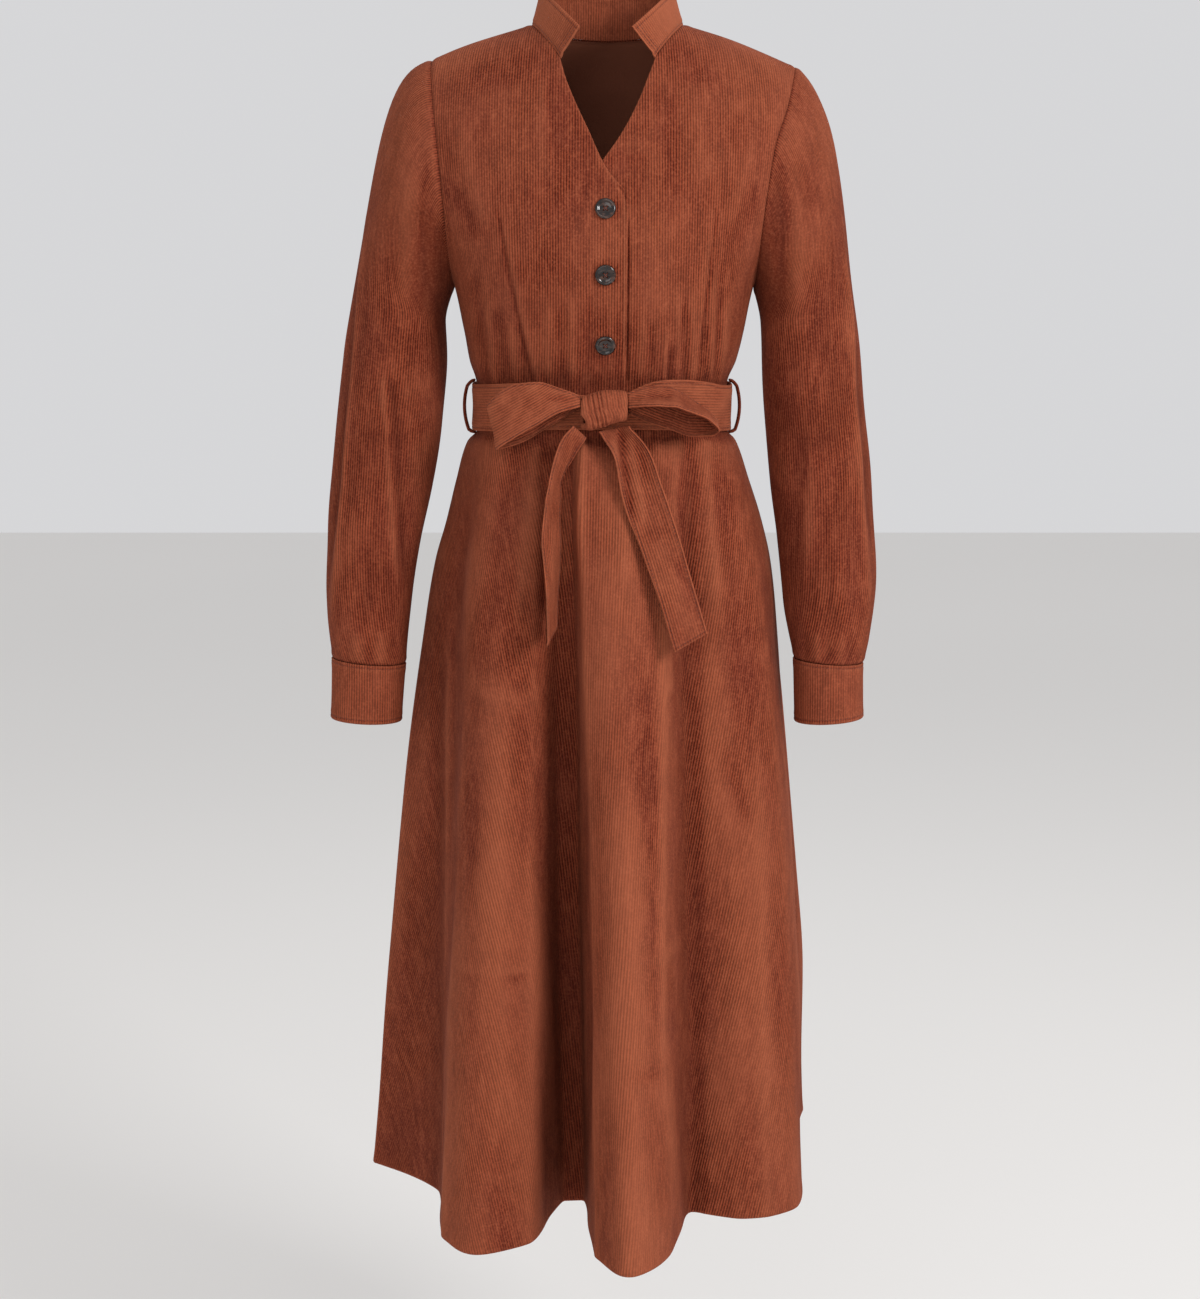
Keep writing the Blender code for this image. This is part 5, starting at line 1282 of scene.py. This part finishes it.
# The band's two layers have their edges turned in: 46 mm and the roll of the edges.
BOW_LOOP_STITCH, TAIL_STITCH = 2.0, 2.5  # mm from the edge
TAIL_STARTS = 0.055, 0.015  # share of the right and of the left tail that the knot would hold
KNOT = [  # share along it, half height, half depth, drop
    (-1.0, 0.0125, 0.0085, 0.0066),
    (-0.9, 0.0160, 0.0105, 0.0062),
    (-0.5, 0.0180, 0.0120, 0.0046),
    (0.0, 0.0178, 0.0125, 0.0018),
    (0.5, 0.0162, 0.0120, -0.0002),
    (0.9, 0.0142, 0.0105, -0.0012),
    (1.0, 0.0115, 0.0085, -0.0016),
]
KNOT_HALF_LENGTH, KNOT_SQUARE, KNOT_MIDDLE = 0.0225, 0.8, (0.0, -0.1092, -0.3700)
KNOT_SLANT = 0.0085  # its right side runs inwards towards the bottom
KNOT_ROLL = [(-0.90, 0.55), (-0.97, 0.72), (-1.0, 0.86)]  # an end rolls in: share along it, share of its size
KNOT_SIDES, KNOT_ROWS, KNOT_STRAIGHT = 150, 60, 0.985
KNOT_CREASES = [
    (-18, -354, -14, -374, -9, -396, 1.1, -1.2),
    (-13, -351, -9, -372, -4, -398, 1.1, -1.3),
    (-9, -350, -5, -370, 0, -397, 1.1, -1.3),
    (-5, -349, -2, -368, 4, -395, 1.1, -1.2),
    (-1, -349, 2, -366, 7, -392, 1.1, -1.0),
    (4, -349, 6, -364, 10, -388, 1.2, -0.7),
    (-11, -351, -7, -371, -2, -397, 1.2, 0.6),
    (-7, -350, -3, -369, 2, -395, 1.2, 0.6),
    (-3, -349, 0, -367, 6, -393, 1.2, 0.5),
    (12, -350, 13, -368, 12, -388, 3.5, -0.5),
]
LOOP_CREASES = [
    (-24, -362, -40, -362, -62, -362, 2.4, -1.0),
    (-24, -367, -38, -374, -56, -384, 2.2, -0.8),
    (-26, -358, -42, -356, -60, -354, 2.6, 0.8),
    (-70, -352, -84, -366, -92, -386, 5.0, 0.8),
    (24, -361, 42, -359, 64, -358, 2.2, -0.8),
    (24, -366, 42, -365, 66, -367, 2.2, 0.6),
    (60, -354, 80, -362, 98, -376, 3.0, -0.9),
]
TAIL_CREASES = [
    (15, -388, 19, -430, 30, -485, 2.6, -3.2),  # the left tail is folded lengthwise below the knot
    (8, -390, 11, -430, 21, -480, 3.6, 1.2),
    (24, -390, 29, -432, 41, -486, 4.0, 1.6),
    (66, -500, 82, -545, 97, -590, 5.5, -1.3),
    (-18, -392, -34, -420, -42, -455, 2.4, -1.1),  # the right tail is crimped at its first bend
    (-42, -440, -36, -448, -30, -452, 2.4, -1.3),
    (-50, -470, -52, -525, -50, -585, 2.6, 1.0),
]


def band(table, long, across, trough=0.0):
    """Outer grid of a band between its two long edges, `across` holding the places across its width."""
    edges = np.array([row[:3] for row in table]), np.array([row[3:] for row in table])
    middle = (edges[0] + edges[1]) / 2
    run = run_of(middle, 0)
    at = run[-1] * long
    upper, lower = (np.stack([smooth(run, e[:, k], at) for k in range(3)], -1) for e in edges)
    share = across[None, :, None]
    grid = lower[:, None] * (1 - share) + upper[:, None] * share
    fade = np.clip(1 - at / (TROUGH_REACH * run[-1]), 0, 1)[:, None]
    grid[..., 1] += trough * fade * np.sin(math.pi * share[..., 0])
    return grid


across = spaced(3, 9, (0.06, 0.14, 0.25)) / 3
long = spaced(16, 8, (0.05, 0.12, 0.2)) / 16
edges = {"left": (1, BOW_LOOP_STITCH), "right": (1, BOW_LOOP_STITCH), "foot": (0,), "top": (0,)}
relief = creased(LOOP_CREASES, (), 31, 0.0004, 0.03, 1.0)
options = {"wall": DOUBLE_WALL, "edges": edges, "relief": relief, "brushed_and_painted_light": 0.4}
for name, table, turned in (("bow_loop_right", LOOP_RIGHT, False), ("bow_loop_left", LOOP_LEFT, True)):
    points = band(table, long, across)
    piece, outer, facing = cloth(name, points, band_grain(points), turned=turned, **options)
    declare(piece, name)
    lines = [line_along(outer, facing, edge, BOW_LOOP_STITCH) for edge in ("left", "right")]
    stitches(name + "_stitches", lines, thread)

edges = {"left": (1, TAIL_STITCH), "right": (1, TAIL_STITCH), "top": (1, TAIL_STITCH), "foot": (0,)}
relief = creased(TAIL_CREASES, (), 33, 0.0005, 0.04, 1.5)
options = {"wall": DOUBLE_WALL, "edges": edges, "relief": relief, "brushed_and_painted_light": 0.35}
long = spaced(10, 10, (0.04, 0.1, 0.18))
for name, table, trough, start in (
    ("bow_tail_right", TAIL_RIGHT, 0.0, TAIL_STARTS[0]),
    ("bow_tail_left", TAIL_LEFT, TAIL_TROUGH, TAIL_STARTS[1]),
):
    points = band(table, start + (1 - start) * long / 10, across, trough)
    piece, outer, facing = cloth(name, points, band_grain(points), **options)
    declare(piece, name)
    lines = [line_along(outer, facing, edge, TAIL_STITCH, 0.0, 0.98) for edge in ("left", "right")]
    lines.append(line_along(outer, facing, "top", TAIL_STITCH, 0.06, 0.94))
    stitches(name + "_stitches", lines, thread)

# The knot is a band wrapped round the loops: its ends roll in against them.
turns = np.linspace(0, 2 * math.pi, KNOT_SIDES, endpoint=False)
straight = [(along, 1.0) for along in np.linspace(-KNOT_STRAIGHT, KNOT_STRAIGHT, KNOT_ROWS)]
layers = []
for along, roll in KNOT_ROLL + straight + [(-along, roll) for along, roll in KNOT_ROLL[::-1]]:
    half_height, half_depth, drop = (read(KNOT, k, along) for k in (1, 2, 3))
    ahead, up = (np.sign(k) * np.abs(k) ** KNOT_SQUARE for k in (np.cos(turns), np.sin(turns)))
    slant = KNOT_SLANT * max(0, -along) * np.clip(-up, 0, 1) * (ahead > 0) * ahead
    x = KNOT_MIDDLE[0] + KNOT_HALF_LENGTH * along + slant
    y = KNOT_MIDDLE[1] - half_depth * ahead * roll
    z = KNOT_MIDDLE[2] - drop + half_height * up * roll
    layers.append(np.stack([x, y, z], -1))
points = np.array(layers)
grain = lengthwise(points)
relief = creased(KNOT_CREASES, (), 35, 0.0003, 0.015, 1.0)
options = {"wall": DOUBLE_WALL, "ring": True, "turned": True, "relief": relief, "brushed_and_painted_light": 0.4}
piece, *_ = cloth("bow_knot", points, grain, **options)
declare(piece, "bow_knot")


# ---- buttons ---------------------------------------------------------------------------------------------
# Three four-hole buttons of polished horn-look polyester, turned with a raised rim. They are sewn on with two
# doubled strands of crossed thread.

BUTTON_RADIUS, BUTTON_THICKNESS, BUTTON_STANDOFF = 0.0100, 0.0030, 0.0004
HOLE_CIRCLE, HOLE_RADIUS, BUTTON_SIDES, HOLE_SIDES = 0.0024, 0.0009, 64, 16
DRILL_LEVELS = -0.001, 0.005
BUTTON_THREAD, THREAD_SIDES, THREAD_FOOT = 0.00022, 8, 0.0006
THREAD_TOP, THREAD_CROSSING, THREAD_ARCH = 0.66, 0.05, 0.12  # shares of the thickness
BUTTON_PROFILE = [  # shares of the radius and of the thickness, from the middle of the face to the back
    (0.0, 0.58), (0.30, 0.58), (0.50, 0.60), (0.60, 0.68), (0.68, 0.82), (0.75, 0.95), (0.81, 1.00),
    (0.87, 0.97), (0.93, 0.84), (0.98, 0.66), (1.00, 0.48), (0.97, 0.28), (0.90, 0.10), (0.70, 0.0),
    (0.0, 0.0),
]

# Cast polyester made to look like dark horn: brown-black with soft lighter streaks, polished to a clear
# gloss.
horn, tree, surface = new_material("Polished horn-look polyester", roughness=0.13, ior=1.54)
surface.inputs["Specular IOR Level"].default_value = 0.5
place = add_node(tree, "TexCoord").outputs["Object"]
feeds = {"Vector": place, "Scale": (90.0, 90.0, 260.0), "Rotation": (0.0, 0.5, 0.0)}
stretched = add_node(tree, "Mapping", feeds).outputs["Vector"]
cloud = add_node(tree, "TexNoise", {"Vector": stretched, "Scale": 1.0, "Detail": 4.0, "Distortion": 1.2})
tone = add_node(tree, "ValToRGB", {"Fac": cloud.outputs["Fac"]})
tone.color_ramp.elements[0].position, tone.color_ramp.elements[1].position = 0.48, 0.70
tone.color_ramp.elements[0].color, tone.color_ramp.elements[1].color = linear("#120806"), linear("#50362b")
tree.links.new(tone.outputs["Color"], surface.inputs["Base Color"])



def from_middle(turn):
    """Unit vector from the button's middle, in its own plane."""
    return Vector((math.cos(turn), math.sin(turn), 0))


for number, height in enumerate(BUTTON_HEIGHTS, 1):
    here, above, beside = (
        torso(angle_at(BUTTON_MIDDLE + dx, height + dz), height + dz)
        for dx, dz in ((0, 0), (0, 0.01), (0.01, 0))
    )
    out = Vector(np.cross(beside - here, above - here)).normalized()
    stand = Matrix.Translation(Vector(here) + out * BUTTON_STANDOFF)
    stand = stand @ out.to_track_quat("Z", "Y").to_matrix().to_4x4()
    verts, faces, last = [], [], len(BUTTON_PROFILE) - 1
    for k, (reach, thick) in enumerate(BUTTON_PROFILE):
        steps = 1 if k in (0, last) else BUTTON_SIDES
        for j in range(steps):
            turn = 2 * math.pi * j / BUTTON_SIDES
            spot = Vector((reach * math.cos(turn), reach * math.sin(turn), 0)) * BUTTON_RADIUS
            verts.append(stand @ (spot + Vector((0, 0, thick * BUTTON_THICKNESS))))
    for k in range(last):
        a, b = 1 + (k - 1) * BUTTON_SIDES, 1 + k * BUTTON_SIDES
        for j in range(BUTTON_SIDES):
            m = (j + 1) % BUTTON_SIDES
            if k == 0:
                faces.append((0, b + j, b + m))
            elif k == last - 1:
                faces.append((a + j, b, a + m))
            else:
                faces.append((a + j, b + j, b + m, a + m))
    button = mesh_object(f"sewn_button_{number}", verts, faces, horn)
    verts, faces = [], []
    for k in range(4):
        middle = HOLE_CIRCLE * from_middle(math.pi / 4 + k * math.pi / 2)
        faces += tube_faces(len(verts), 2, HOLE_SIDES)
        for level in DRILL_LEVELS:
            for j in range(HOLE_SIDES):
                spot = middle + HOLE_RADIUS * from_middle(2 * math.pi * j / HOLE_SIDES)
                verts.append(stand @ (spot + Vector((0, 0, level))))
    cutter = mesh_object("button_drill", verts, faces, horn)
    drilled = button.modifiers.new("holes", "BOOLEAN")
    drilled.operation, drilled.object = "DIFFERENCE", cutter
    shape = bpy.data.meshes.new_from_object(button.evaluated_get(bpy.context.evaluated_depsgraph_get()))
    button.modifiers.clear()
    button.data = shape
    shape.set_sharp_from_angle(angle=math.radians(40))
    bpy.data.objects.remove(cutter, do_unlink=True)
    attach(button, "root")
    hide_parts(f"button_{number}")
    verts, faces = [], []
    for crossing in (0, 1):
        way = from_middle(math.pi / 4 + crossing * math.pi / 2) * HOLE_CIRCLE
        path = [-way + Vector((0, 0, THREAD_FOOT))]
        for s in (-1, -0.5, 0, 0.5, 1):
            level = THREAD_TOP + THREAD_CROSSING * crossing + THREAD_ARCH * (1 - s * s)
            path.append(way * s + Vector((0, 0, BUTTON_THICKNESS * level)))
        path.append(way + Vector((0, 0, THREAD_FOOT)))
        path = [stand @ p for p in path]
        for strand in (-1, 1):
            faces += tube_faces(len(verts), len(path), THREAD_SIDES)
            for k, p in enumerate(path):
                way = (path[min(k + 1, 6)] - path[max(k - 1, 0)]).normalized()
                level_way = way if abs(way.dot(out)) < 0.95 else path[4] - path[2]
                beside = level_way.cross(out).normalized()
                lift = beside.cross(way)
                for j in range(THREAD_SIDES):
                    spin = 2 * math.pi * j / THREAD_SIDES
                    ring = (math.cos(spin) * beside + math.sin(spin) * lift) * BUTTON_THREAD
                    verts.append(p + beside * strand * BUTTON_THREAD + ring)
    sewing = mesh_object(f"button_thread_{number}", verts, faces, thread)
    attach(sewing, "root")
